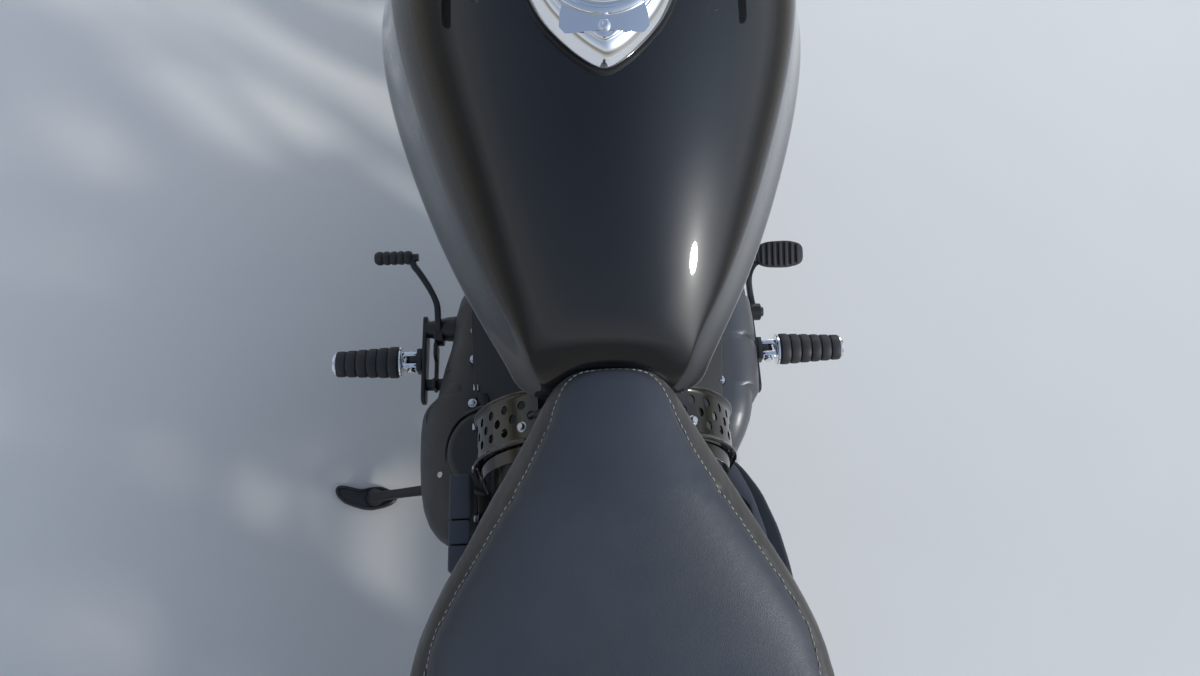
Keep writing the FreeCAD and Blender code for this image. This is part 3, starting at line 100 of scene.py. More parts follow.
upright = Matrix.Rotation(-LEAN, 4, "X")
MACHINE = Matrix.Translation(Vector(joints["rear_wheel_spin"]["pos_m"]) - upright @ REAR_AXLE) @ upright
REAR_WHEEL = MACHINE @ Matrix.Translation(REAR_AXLE) @ turn(-90, "X")
FRONT_WHEEL = MACHINE @ Matrix.Translation(FRONT_AXLE) @ turn(-90, "X")
print("machine origin", [round(c, 4) for c in MACHINE.translation])

# %% [markdown]
# ## The camera
#
# The photograph looks down from the rider's head, a little forward, with a wide lens. The camera's
# place was found in the machine's own frame, so it is carried into the leaning world as a piece is.

# %% The camera over the saddle
EYE = Vector((0.34236, 0.03497, 1.39175))
LOOK_AHEAD, LOOK_ASIDE, LOOK_ROLL = 0.41027, -0.04814, -0.02479
FOCAL_LENGTH, PHOTO_WIDTH = 850, 1200  # in pixels of the photograph
camera_turn = Matrix.Rotation(LOOK_ASIDE, 3, "Z") @ Matrix.Rotation(LOOK_ROLL, 3, "X")
right = camera_turn @ Vector((0, -1, 0))
up = camera_turn @ Vector((math.cos(LOOK_AHEAD), 0, math.sin(LOOK_AHEAD)))
back = camera_turn @ Vector((-math.sin(LOOK_AHEAD), 0, math.cos(LOOK_AHEAD)))
camera_data = bpy.data.cameras.new("rider_view")
camera_data.sensor_width = 36.0
camera_data.lens = FOCAL_LENGTH / PHOTO_WIDTH * camera_data.sensor_width
camera = bpy.data.objects.new("rider_view", camera_data)
bpy.context.scene.collection.objects.link(camera)
axes = Matrix((right, up, back)).transposed().to_4x4()
camera.matrix_world = MACHINE @ Matrix.Translation(EYE) @ axes
bpy.context.scene.camera = camera
bpy.context.scene.view_settings.view_transform = "Standard"
print("lens", round(camera_data.lens, 2), "mm")

# %% [markdown]
# ## Modelling helpers
#
# Every piece is made as by hand: a primitive is added, opened for editing, shaped by operators, and
# finished with modifiers that are applied at once. The first helpers name those steps. The others
# make the forms that nearly all of a motorcycle consists of: turned parts, bent tubes, cut plates,
# and skins wrapped over cross sections.

# %% Start a piece, pick parts of it, finish it
MERGE_GAP = 0.00001  # vertices closer than this are one


def leave_editing():
    if bpy.context.object and bpy.context.mode != "OBJECT":
        bpy.ops.object.mode_set(mode="OBJECT")
    bpy.ops.object.select_all(action="DESELECT")


def begin(name, add, **sizes):
    """A primitive with nothing else selected, open for editing."""
    leave_editing()
    add(**sizes)
    piece = bpy.context.object
    piece.name = piece.data.name = name
    bpy.ops.object.mode_set(mode="EDIT")
    bpy.ops.mesh.select_mode(type="VERT")
    bpy.ops.mesh.select_all(action="SELECT")
    return piece


def pick(piece, kind, test):
    """Selects the vertices, edges or faces that pass a test, and says how many."""
    bpy.ops.mesh.select_mode(type=kind)
    bpy.ops.mesh.select_all(action="DESELECT")
    mesh = bmesh.from_edit_mesh(piece.data)
    parts = {"VERT": mesh.verts, "EDGE": mesh.edges, "FACE": mesh.faces}[kind]
    chosen = [part for part in parts if test(part)]
    for part in chosen:
        part.select_set(True)
    mesh.select_flush_mode()
    bmesh.update_edit_mesh(piece.data)
    return len(chosen)


def only(piece):
    leave_editing()
    piece.select_set(True)
    bpy.context.view_layer.objects.active = piece


def edit(piece):
    """Opens a piece for editing, with all of it selected."""
    only(piece)
    bpy.ops.object.mode_set(mode="EDIT")
    bpy.ops.mesh.select_all(action="SELECT")


def modify(piece, kind, **values):
    """Adds a modifier and applies it."""
    only(piece)
    modifier = piece.modifiers.new(kind, kind)
    for name, value in values.items():
        setattr(modifier, name, value)
    bpy.ops.object.modifier_apply(modifier=modifier.name)


def round_edges(piece, width, angle=32, segments=2):
    modify(piece, "BEVEL", width=width, segments=segments, limit_method="ANGLE",
           angle_limit=math.radians(angle))


def smooth_form(piece, levels=1):
    modify(piece, "SUBSURF", levels=levels, render_levels=levels)


def both_sides(piece):
    """Adds the mirror image across the machine's middle plane."""
    modify(piece, "MIRROR", use_axis=(False, True, False), use_mirror_merge=False)


def raise_top(piece, steps):
    """Insets the faces that look up and lifts them, step by step."""
    edit(piece)
    pick(piece, "FACE", lambda face: face.normal.z > 0.9)
    for inset, rise in steps:
        bpy.ops.mesh.inset(thickness=inset, use_even_offset=True)
        bpy.ops.transform.translate(value=(0, 0, rise))
    leave_editing()


def tidy_mesh(piece):
    """Merges doubles and turns every face outwards."""
    edit(piece)
    bpy.ops.mesh.remove_doubles(threshold=MERGE_GAP)
    bpy.ops.mesh.normals_make_consistent(inside=False)
    leave_editing()


def place(piece, matrix):
    """Moves the mesh itself, so that the object stays at the origin, unturned."""
    leave_editing()
    piece.data.transform(matrix @ piece.matrix_world)
    piece.matrix_world = Matrix.Identity(4)
    piece.data.update()


def dress(piece, body, slot, finish, *nodes, matrix=MACHINE, sharp=35):
    """Lays a drawn piece in its place, shades it and hands it to its body."""
    place(piece, matrix)
    only(piece)
    bpy.ops.object.shade_smooth_by_angle(angle=math.radians(sharp))
    finishes = finish if isinstance(finish, (list, tuple)) else [finish]
    if len(piece.data.materials) == 0 or len(finishes) == 1:
        piece.data.materials.clear()
        for one in finishes:
            piece.data.materials.append(one)
    else:
        for index, one in enumerate(finishes):
            piece.data.materials[index] = one
    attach(piece, body)
    if nodes:
        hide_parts(*nodes)
    piece.select_set(False)


def joined(name, pieces):
    """Several drawn parts as one mesh."""
    leave_editing()
    for piece in pieces:
        piece.select_set(True)
    bpy.context.view_layer.objects.active = pieces[0]
    bpy.ops.object.join()
    pieces[0].name = pieces[0].data.name = name
    return pieces[0]


def copied(piece, matrix, name):
    """A copy with its own mesh, moved by a matrix in the drawing."""
    twin = piece.copy()
    twin.data = piece.data.copy()
    twin.name = twin.data.name = name
    bpy.context.scene.collection.objects.link(twin)
    twin.data.transform(matrix)
    if matrix.determinant() < 0:
        twin.data.flip_normals()
    return twin


def along(origin, direction):
    """A place whose Z runs along a direction."""
    return Matrix.Translation(origin) @ Vector(direction).to_track_quat("Z", "Y").to_matrix().to_4x4()


def opposite(piece, name):
    """The same piece on the other side of the machine's middle plane."""
    return copied(piece, Matrix.Scale(-1, 4, (0, 1, 0)), name)


def dress_both(piece, right_name, body, slot, finish, *nodes, sharp=35):
    """Dresses a piece on the left and its mirror image on the right."""
    twin = opposite(piece, right_name)
    dress(piece, body, slot, finish, *nodes, sharp=sharp)
    dress(twin, body, slot, finish, sharp=sharp)


# %% Box, lathe, tube, plate and wrapped skin
def box(name, size, centre):
    piece = begin(name, bpy.ops.mesh.primitive_cube_add, size=1)
    place(piece, move(*centre) @ Matrix.Diagonal((*size, 1)))
    return piece


def turned(name, profile, steps=64, matrix=None):
    """A vertex extruded along a profile of (radius, height), then spun round Z."""
    piece = begin(name, bpy.ops.mesh.primitive_plane_add, size=0.001)
    bpy.ops.mesh.merge(type="CENTER")
    points = [Vector((radius, 0, height)) for radius, height in profile]
    bpy.ops.transform.translate(value=points[0])
    for near, far in zip(points, points[1:]):
        bpy.ops.mesh.extrude_vertices_move(TRANSFORM_OT_translate={"value": far - near})
    bpy.ops.mesh.select_all(action="SELECT")
    bpy.ops.mesh.spin(steps=steps, angle=2 * math.pi, center=(0, 0, 0), axis=(0, 0, 1))
    tidy_mesh(piece)
    if matrix is not None:
        place(piece, matrix)
    return piece


def piped(name, points, radius, sides=6):
    """A smooth line through a few control points with a round section, made a mesh."""
    leave_editing()
    line = bpy.data.curves.new(name, "CURVE")
    line.dimensions = "3D"
    spline = line.splines.new("NURBS")
    spline.points.add(len(points) - 1)
    for point, spot in zip(spline.points, points):
        point.co = (*spot, 1)
    spline.order_u = 3
    spline.use_endpoint_u = True
    spline.resolution_u = 8
    line.bevel_depth = radius
    line.bevel_resolution = sides
    line.use_fill_caps = True
    piece = bpy.data.objects.new(name, line)
    bpy.context.scene.collection.objects.link(piece)
    only(piece)
    bpy.ops.object.convert(target="MESH")
    return bpy.context.object


def plate(name, outline, depth, matrix=None):
    """A filled outline in X and Y, extruded upwards by its depth."""
    piece = begin(name, bpy.ops.mesh.primitive_circle_add, vertices=len(outline), radius=1,
                  fill_type="NGON")
    mesh = bmesh.from_edit_mesh(piece.data)
    mesh.verts.ensure_lookup_table()
    for vertex, (x, y) in zip(mesh.verts, outline):
        vertex.co = (x, y, 0)
    bmesh.update_edit_mesh(piece.data)
    bpy.ops.mesh.select_all(action="SELECT")
    bpy.ops.mesh.extrude_region_move(TRANSFORM_OT_translate={"value": (0, 0, depth)})
    tidy_mesh(piece)
    if matrix is not None:
        place(piece, matrix)
    return piece


def laid_grid(name, rows, columns, spot):
    """A grid with each vertex laid by a function of its row and column, open for editing."""
    piece = begin(name, bpy.ops.mesh.primitive_grid_add, x_subdivisions=columns - 1,
                  y_subdivisions=rows - 1, size=1)
    mesh = bmesh.from_edit_mesh(piece.data)
    mesh.verts.ensure_lookup_table()
    for index, vertex in enumerate(mesh.verts):
        vertex.co = spot(*divmod(index, columns))
    bmesh.update_edit_mesh(piece.data)
    bpy.ops.mesh.select_all(action="SELECT")
    return piece


def wrapped(name, rings):
    """A grid laid on closed rings of points, one ring after the other, with both ends filled."""
    count = len(rings[0])
    piece = laid_grid(name, len(rings), count + 1, lambda row, column: rings[row][column % count])
    bpy.ops.mesh.remove_doubles(threshold=MERGE_GAP)
    bpy.ops.mesh.select_mode(type="EDGE")
    bpy.ops.mesh.select_all(action="DESELECT")
    bpy.ops.mesh.select_non_manifold(extend=False)
    bpy.ops.mesh.fill_holes(sides=0)
    tidy_mesh(piece)
    return piece


def mirrored_ring(x, side):
    """A closed ring from the (y, z) points of its left side, bottom to top."""
    left = [Vector((x, y, z)) for y, z in side]
    return left + [Vector((p.x, -p.y, p.z)) for p in left[-2:0:-1]]


def rounded(corners, radius, steps=4):
    """A closed outline with each corner turned by an arc."""
    points = []
    count = len(corners)
    for index, corner in enumerate(corners):
        before = Vector(corners[index - 1]) - Vector(corner)
        after = Vector(corners[(index + 1) % count]) - Vector(corner)
        size = radius[index] if isinstance(radius, (list, tuple)) else radius
        size = min(size, 0.48 * before.length, 0.48 * after.length)
        start = Vector(corner) + before.normalized() * size
        end = Vector(corner) + after.normalized() * size
        for step in range(steps + 1):
            share = step / steps
            one = start.lerp(Vector(corner), share)
            two = Vector(corner).lerp(end, share)
            points.append(tuple(one.lerp(two, share)))
    return points


def rounded_box(half_x, half_y, radius, steps, middle=0.0):
    """The outline of a rectangle with rounded corners, its middle on the X axis."""
    low, high = middle - half_x, middle + half_x
    return rounded([(low, -half_y), (high, -half_y), (high, half_y), (low, half_y)], radius, steps)


def curve_between(points, steps):
    """Close points on a smooth curve through all the given points but the first and the last."""
    close = []
    for index in range(1, len(points) - 2):
        a, b, c, d = points[index - 1:index + 3]
        for step in range(steps):
            t = step / steps
            close.append(0.5 * (2 * b + (c - a) * t + (2 * a - 5 * b + 4 * c - d) * t * t
                                + (3 * b - a - 3 * c + d) * t ** 3))
    return close


def between(table, x):
    """The value that a table of (x, value) gives at a place between its rows."""
    for (x1, one), (x2, two) in zip(table, table[1:]):
        if x <= x2:
            share = min(max((x - x1) / (x2 - x1), 0), 1)
            return one + share * (two - one)
    return table[-1][1]

# %% [markdown]
# ## Finishes
#
# Every finish is built from nodes and reads Object coordinates, so it stays on the piece when the
# piece moves. A real surface is never one flat colour: paint carries a fine peel, castings are
# grainy, rubber greys with dust, chrome smears. One helper gives each finish two close tones in slow
# blotches, a roughness that wanders and a grain as bump. Tyre rubber, leather and lamp glass differ
# enough to have helpers of their own.

# %% One helper for all finishes
def node(tree, kind, **values):
    made = tree.nodes.new(kind)
    for name, value in values.items():
        if hasattr(made, name):
            setattr(made, name, value)
        else:
            made.inputs[name.replace("_", " ")].default_value = value
    return made


def new_finish(name):
    """A material with its shader, its Object coordinates in the machine's frame, and their links."""
    material = bpy.data.materials.new(name)
    material.use_nodes = True
    tree = material.node_tree
    shader = tree.nodes["Principled BSDF"]
    spot = node(tree, "ShaderNodeTexCoord")
    level = node(tree, "ShaderNodeMapping")
    level.inputs["Rotation"].default_value = (LEAN, 0, 0)
    tree.links.new(spot.outputs["Object"], level.inputs["Vector"])
    return material, tree, shader, level.outputs["Vector"]


def noise(tree, where, scale, detail=4.0, rough=0.55):
    made = node(tree, "ShaderNodeTexNoise", Scale=scale, Detail=detail, Roughness=rough)
    tree.links.new(where, made.inputs["Vector"])
    return made.outputs["Fac"]


def spread(tree, value, low, high, start=0.3, end=0.7):
    made = node(tree, "ShaderNodeMapRange")
    made.inputs["From Min"].default_value = start
    made.inputs["From Max"].default_value = end
    made.inputs["To Min"].default_value = low
    made.inputs["To Max"].default_value = high
    tree.links.new(value, made.inputs["Value"])
    return made.outputs["Result"]


def colour_sockets(sockets):
    """A Mix node has sockets for every kind of data; these are the ones for colours."""
    return [socket for socket in sockets if socket.type == "RGBA"]


def two_tones(tree, factor, one, other):
    made = node(tree, "ShaderNodeMix", data_type="RGBA")
    for socket, tone in zip(colour_sockets(made.inputs), (one, other)):
        socket.default_value = (*tone, 1)
    tree.links.new(factor, made.inputs["Factor"])
    return colour_sockets(made.outputs)[0]


def bump(tree, height, distance, strength=1.0, under=None):
    made = node(tree, "ShaderNodeBump", Distance=distance, Strength=strength)
    tree.links.new(height, made.inputs["Height"])
    if under is not None:
        tree.links.new(under, made.inputs["Normal"])
    return made.outputs["Normal"]


def finish(name, tones, rough, metal=0.0, blotch=7.0, grain=900.0, depth=0.00003, coat=0.0, specular=0.5):
    """Two tones in blotches, roughness between two values, and a grain."""
    material, tree, shader, where = new_finish(name)
    slow = noise(tree, where, blotch)
    tree.links.new(two_tones(tree, spread(tree, slow, 0, 1), *tones), shader.inputs["Base Color"])
    smear = noise(tree, where, blotch * 5, detail=6)
    tree.links.new(spread(tree, smear, *rough), shader.inputs["Roughness"])
    if depth:
        tree.links.new(bump(tree, noise(tree, where, grain), depth), shader.inputs["Normal"])
    shader.inputs["Metallic"].default_value = metal
    shader.inputs["Coat Weight"].default_value = coat
    shader.inputs["Coat Roughness"].default_value = 0.03
    shader.inputs["Specular IOR Level"].default_value = specular
    return material


# %% Painted, plated and cast finishes
GLOSS_BLACK = finish("gloss_black", ((0.0035, 0.0037, 0.0045), (0.006, 0.0062, 0.0075)), (0.20, 0.30),
                     blotch=3, grain=320, depth=0.000004, coat=1.0, specular=0.12)
FRAME_BLACK = finish("frame_black", ((0.010, 0.010, 0.011), (0.016, 0.016, 0.017)), (0.34, 0.44),
                     grain=1500, depth=0.00001)
ENGINE_BLACK = finish("engine_black", ((0.022, 0.0215, 0.0205), (0.032, 0.031, 0.0295)), (0.40, 0.52),
                      grain=1300, depth=0.00004)
ENGINE_GREY = finish("engine_grey", ((0.085, 0.088, 0.094), (0.110, 0.113, 0.120)), (0.34, 0.44),
                     metal=0.45, grain=1400, depth=0.00002)
CAST_BLACK = finish("cast_black", ((0.010, 0.010, 0.0105), (0.015, 0.015, 0.016)), (0.30, 0.42),
                    grain=1100, depth=0.00002)
# Dark plastic with a bluish tone that is painted sky reflection, for the lids and the side panel.
BOX_BLACK_PAINTED_SKY = finish("box_black_painted_sky", ((0.042, 0.047, 0.060), (0.052, 0.058, 0.073)), (0.42, 0.52),
                   grain=1500, depth=0.00001)
BLACK_RUBBER = finish("black_rubber", ((0.018, 0.018, 0.0195), (0.034, 0.034, 0.036)), (0.50, 0.66),
                      blotch=22, grain=1200, depth=0.00004)
CHROME = finish("chrome", ((0.80, 0.81, 0.83), (0.87, 0.88, 0.90)), (0.03, 0.09), metal=1.0, blotch=9, depth=0)
BLACK_CHROME = finish("black_chrome", ((0.060, 0.058, 0.052), (0.085, 0.080, 0.070)), (0.10, 0.18),
                      metal=1.0, blotch=12, depth=0)
STEEL = finish("steel", ((0.46, 0.46, 0.47), (0.58, 0.58, 0.59)), (0.22, 0.36), metal=1.0,
               blotch=14, grain=2200, depth=0.000008)
ALLOY = finish("alloy", ((0.42, 0.43, 0.44), (0.52, 0.53, 0.54)), (0.32, 0.46), metal=1.0,
               blotch=10, grain=1400, depth=0.00002)
MIRROR_GLASS = finish("mirror_glass", ((0.88, 0.90, 0.92), (0.92, 0.94, 0.95)), (0.01, 0.02),
                      metal=1.0, blotch=4, depth=0)


# %% Tyre rubber, greyer where dust lies
def tyre_finish():
    material, tree, shader, where = new_finish("tyre_rubber")
    dust = noise(tree, where, 26, detail=8)
    fine = noise(tree, where, 700)
    tone = two_tones(tree, spread(tree, dust, 0, 1, 0.42, 0.74), (0.012, 0.012, 0.0125), (0.042, 0.040, 0.038))
    tree.links.new(tone, shader.inputs["Base Color"])
    tree.links.new(spread(tree, dust, 0.62, 0.86), shader.inputs["Roughness"])
    tree.links.new(bump(tree, fine, 0.00008), shader.inputs["Normal"])
    return material


TYRE_RUBBER = tyre_finish()


# %% Leather: a pebbled grain with fine creases
def leather_finish(name, tones, rough, pebble=760.0):
    material, tree, shader, where = new_finish(name)
    slow = noise(tree, where, 8, detail=5)
    tree.links.new(two_tones(tree, spread(tree, slow, 0, 1), *tones), shader.inputs["Base Color"])
    tree.links.new(spread(tree, noise(tree, where, 30), *rough), shader.inputs["Roughness"])
    cells = node(tree, "ShaderNodeTexVoronoi", feature="DISTANCE_TO_EDGE", Scale=pebble)
    tree.links.new(where, cells.inputs["Vector"])
    grain = bump(tree, spread(tree, cells.outputs["Distance"], 0, 1, 0.0, 0.35), 0.00006)
    creases = bump(tree, noise(tree, where, 55, detail=8, rough=0.7), 0.0005, strength=0.35, under=grain)
    tree.links.new(creases, shader.inputs["Normal"])
    shader.inputs["Sheen Weight"].default_value = 0.12
    shader.inputs["Sheen Roughness"].default_value = 0.4
    return material


# The top leather is dark leather with a bluish tone that is painted sky reflection; the side leather's warm olive
# tone is painted ground reflection.
SADDLE_LEATHER_PAINTED_SKY = leather_finish("saddle_leather", ((0.030, 0.034, 0.044), (0.040, 0.045, 0.058)), (0.36, 0.46))
SIDE_LEATHER_PAINTED_GROUND = leather_finish("side_leather_painted_ground", ((0.034, 0.032, 0.0285), (0.048, 0.045, 0.040)), (0.42, 0.54),
                              pebble=520)
THREAD = finish("thread", ((0.30, 0.27, 0.22), (0.42, 0.39, 0.33)), (0.6, 0.8), blotch=60, grain=2600,
                depth=0.00008)


# %% Lamp glass
def glass_finish(name, colour):
    material, tree, shader, where = new_finish(name)
    shader.inputs["Base Color"].default_value = (*colour, 1)
    shader.inputs["Transmission Weight"].default_value = 1.0
    shader.inputs["IOR"].default_value = 1.46
    tree.links.new(spread(tree, noise(tree, where, 40), 0.03, 0.06), shader.inputs["Roughness"])
    tree.links.new(bump(tree, noise(tree, where, 260), 0.00002), shader.inputs["Normal"])
    return material


CLEAR_GLASS = glass_finish("clear_glass", (0.96, 0.97, 0.98))
RED_GLASS = glass_finish("red_glass", (0.55, 0.012, 0.012))
AMBER_GLASS = glass_finish("amber_glass", (0.85, 0.30, 0.03))
print("finishes", len(bpy.data.materials))

# %% [markdown]
# ## Floor, sky and lamps
#
# Black gloss paint shows nothing but what stands round it. The sky is a ramp over the height of each
# direction: pale ground, a dull band where hedges and houses would stand, bright haze above it and a
# deeper blue overhead. Two soft glows, one round the sun and a wide cool one above it, give the tank
# its highlights. A sun lamp and one wide soft lamp from the front do the rest.

# %% Floor
def floor_finish():
    material, tree, shader, where = new_finish("pale_floor")
    slow = noise(tree, where, 1.5)
    tree.links.new(two_tones(tree, slow, (0.62, 0.61, 0.59), (0.68, 0.67, 0.65)), shader.inputs["Base Color"])
    tree.links.new(bump(tree, noise(tree, where, 240), 0.0003, strength=0.4), shader.inputs["Normal"])
    shader.inputs["Roughness"].default_value = 0.9
    return material


FLOOR_SIZE = 14
floor = begin("floor", bpy.ops.mesh.primitive_plane_add, size=FLOOR_SIZE)
bpy.ops.mesh.subdivide(number_cuts=3)
leave_editing()
floor.data.materials.append(floor_finish())


# %% Sky
SKY = [
    # height of the direction, from 0 straight down to 1 straight up, and its colour
    (0.42, (0.62, 0.61, 0.59)),
    (0.49, (0.42, 0.40, 0.36)),
    (0.53, (0.24, 0.24, 0.225)),
    (0.57, (0.22, 0.225, 0.22)),
    (0.64, (0.62, 0.66, 0.70)),
    (0.80, (0.36, 0.44, 0.57)),
    (1.0, (0.22, 0.29, 0.43)),
]
SUN_WAY = Vector((-0.47, -0.72, 0.51)).normalized()
GLOWS = [
    # direction, sharpness, colour
    (SUN_WAY, 26, (2.6, 2.6, 2.55)),
    (Vector((-0.18, -0.68, 0.71)).normalized(), 6, (0.62, 0.72, 0.88)),
]

world = bpy.data.worlds.new("open_air")
bpy.context.scene.world = world
world.use_nodes = True
sky = world.node_tree
background = sky.nodes["Background"]
heading = node(sky, "ShaderNodeTexCoord")
split = node(sky, "ShaderNodeSeparateXYZ")
sky.links.new(heading.outputs["Generated"], split.inputs["Vector"])
climb = node(sky, "ShaderNodeValToRGB")
stops = climb.color_ramp.elements
stops[0].position, stops[1].position = SKY[0][0], SKY[-1][0]
for position, colour in SKY[1:-1]:
    stops.new(position)
for stop, (position, colour) in zip(stops, SKY):
    stop.color = (*colour, 1)
sky.links.new(spread(sky, split.outputs["Z"], 0, 1, -1, 1), climb.inputs["Fac"])

light = climb.outputs["Color"]
for way, sharpness, colour in GLOWS:
    facing = node(sky, "ShaderNodeVectorMath", operation="DOT_PRODUCT")
    facing.inputs[1].default_value = way
    sky.links.new(heading.outputs["Generated"], facing.inputs[0])
    glow = node(sky, "ShaderNodeMath", operation="POWER")
    glow.inputs[1].default_value = sharpness
    sky.links.new(spread(sky, facing.outputs["Value"], 0, 1, 0, 1), glow.inputs[0])
    halo = node(sky, "ShaderNodeMix", data_type="RGBA", blend_type="ADD")
    halo.inputs["Factor"].default_value = 1
    under, over = colour_sockets(halo.inputs)
    sky.links.new(light, under)
    sky.links.new(two_tones(sky, glow.outputs[0], (0, 0, 0), colour), over)
    light = colour_sockets(halo.outputs)[0]
sky.links.new(light, background.inputs["Color"])
background.inputs["Strength"].default_value = 1.0


# %% Lamps
def lamp(name, kind, spot, target, power, size, tint=(1, 1, 1)):
    """A lamp aimed at a place; size is a disc's width, or the angle that the sun seems wide."""
    data = bpy.data.lights.new(name, kind)
    data.energy = power
    data.color = tint
    if kind == "AREA":
        data.shape = "DISK"
        data.size = size
    else:
        data.angle = math.radians(size)
    made = bpy.data.objects.new(name, data)
    bpy.context.scene.collection.objects.link(made)
    made.location = spot
    made.rotation_euler = (Vector(target) - Vector(spot)).to_track_quat("-Z", "Y").to_euler()


bpy.context.scene.cycles.caustics_reflective = False
bpy.context.scene.cycles.caustics_refractive = False
lamp("sun", "SUN", spot=6 * SUN_WAY, target=(0, 0, 0), power=1.7, size=6, tint=(1.0, 0.97, 0.92))
lamp("front_fill", "AREA", spot=(4.2, -1.6, 2.6), target=(0.3, 0, 0.5), power=50, size=2.6)

# %% [markdown]
# ## Solids that keep their shape
#
# Tubes, castings and brackets are right as solids, but a solid's edges are razor sharp and its mesh
# is loose triangles. A copy of each gets its triangles merged, flat faces joined and every hard edge
# rounded by under a millimetre, because on a real casting that small radius is what catches the
# light. The copy then stands for the solid.

# %% Copies with rounded edges
FLAT_ANGLE = math.radians(0.6)  # faces that differ by less are joined
slot_of = {row["node"]: row["material_slot"] for row in frame["record"]["subparts"]}


def carried(node_name, finish_used, edge):
    """A copy of a solid with clean faces and rounded edges, dressed in its place."""
    source = frame["nodes"][node_name]
    leave_editing()
    piece = source.copy()
    piece.data = source.data.copy()
    piece.parent = None
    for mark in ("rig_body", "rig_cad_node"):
        del piece[mark]
    piece.name = piece.data.name = node_name + "_skin"
    bpy.context.scene.collection.objects.link(piece)
    only(piece)
    bpy.ops.mesh.customdata_custom_splitnormals_clear()
    edit(piece)
    bpy.ops.mesh.remove_doubles(threshold=MERGE_GAP)
    bpy.ops.mesh.dissolve_limited(angle_limit=FLAT_ANGLE)
    leave_editing()
    round_edges(piece, edge)
    dress(piece, source["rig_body"], slot_of[node_name], finish_used, node_name, matrix=Matrix.Identity(4))


CARRIED = [
    # solid, finish, edge radius
    ("frame", FRAME_BLACK, 0.0010),
    ("swingarm", FRAME_BLACK, 0.0012),
    ("crankcase", ENGINE_BLACK, 0.0015),
    ("cylinders", ENGINE_BLACK, 0.0006),
    ("cylinder_heads", ENGINE_BLACK, 0.0008),
    ("intake", CAST_BLACK, 0.0010),
    ("exhaust_headers", CHROME, 0.0006),
    ("muffler", CHROME, 0.0006),
    ("rear_fender", GLOSS_BLACK, 0.0006),
    ("front_fender", GLOSS_BLACK, 0.0006),
    ("fork_sliders", CAST_BLACK, 0.0010),
    ("fork_tubes", CHROME, 0.0006),
    ("fork_clamps", FRAME_BLACK, 0.0012),
    ("handlebar", CHROME, 0.0004),
    ("front_caliper", CAST_BLACK, 0.0012),
    ("rear_caliper", CAST_BLACK, 0.0012),
    ("battery_box", FRAME_BLACK, 0.0010),
    ("front_wheel", CAST_BLACK, 0.0010),
    ("rear_wheel", CAST_BLACK, 0.0010),
    ("front_disc", STEEL, 0.0003),
    ("rear_disc", STEEL, 0.0003),
    ("front_axle", STEEL, 0.0006),
    ("rear_axle", STEEL, 0.0006),
    ("rear_pulley", ALLOY, 0.0006),
    ("front_pulley", STEEL, 0.0006),
    ("drive_belt", BLACK_RUBBER, 0.0003),
    ("plate_bracket", FRAME_BLACK, 0.0008),
]
for row in CARRIED:
    carried(*row)
print("carried solids", len(CARRIED))

# %% [markdown]
# ## Fuel tank
#
# A pressed tank is one broad dome over a leaning flank. The two meet in a soft crease that runs all
# round, across the rear as well, and the flank flares a little more towards the welded lip, so from
# the saddle it shows as a pale band that mirrors the ground. The form changes along its length, so
# it is wrapped over cross sections: each ring holds the lip, the flank, the crease and half the
# dome, mirrored. Subdivision then gives the even curvature that gloss black paint needs, because
# every bump in the mesh would show in a reflection.

# %% Tank sections
TANK = [
    # x, half width, lip height, crease height, crease inset, top, underside
    (0.5650, 0.0500, 0.7585, 0.7625, 0.0126, 0.7650, 0.7540),
    (0.5695, 0.0650, 0.7600, 0.7690, 0.0144, 0.7730, 0.7530),
    (0.5775, 0.0745, 0.7615, 0.7790, 0.0158, 0.7850, 0.7520),
    (0.5870, 0.0790, 0.7630, 0.7885, 0.0166, 0.7985, 0.7520),
    (0.5940, 0.0825, 0.7640, 0.7935, 0.0171, 0.8085, 0.7520),
    (0.6060, 0.0890, 0.7650, 0.7990, 0.0171, 0.8210, 0.7520),
    (0.6260, 0.1000, 0.7670, 0.8060, 0.0156, 0.8375, 0.7520),
    (0.6500, 0.1130, 0.7690, 0.8140, 0.0160, 0.8560, 0.7520),
    (0.6940, 0.1335, 0.7735, 0.8270, 0.0172, 0.8850, 0.7520),
    (0.7350, 0.1495, 0.7780, 0.8375, 0.0184, 0.9045, 0.7520),
    (0.7900, 0.1685, 0.7850, 0.8500, 0.0196, 0.9236, 0.7520),
    (0.8450, 0.1825, 0.7920, 0.8600, 0.0204, 0.9379, 0.7530),
    (0.8930, 0.1895, 0.7980, 0.8665, 0.0208, 0.9464, 0.7545),
    (0.9400, 0.1865, 0.8020, 0.8710, 0.0208, 0.9512, 0.7570),
    (0.9900, 0.1730, 0.8060, 0.8740, 0.0204, 0.9523, 0.7620),
    (1.0450, 0.1460, 0.8120, 0.8730, 0.0192, 0.9467, 0.7710),
    (1.0900, 0.1110, 0.8200, 0.8660, 0.0176, 0.9330, 0.7840),
    (1.1080, 0.0800, 0.8280, 0.8580, 0.0160, 0.9180, 0.7960),
]
# Up the flank: share of the crease inset, and share of the way from the lip to the crease
FLANK = [(0.00, 0.04), (0.05, 0.10), (0.22, 0.22), (0.46, 0.43), (0.78, 0.80), (0.93, 0.95)]
# Over the dome: share of the crease's half width, and share of the way from the crease to the top
DOME = [(1.00, 0.03), (0.965, 0.14), (0.90, 0.29), (0.79, 0.49), (0.64, 0.70), (0.46, 0.86), (0.24, 0.965),
        (0.0, 1.0)]


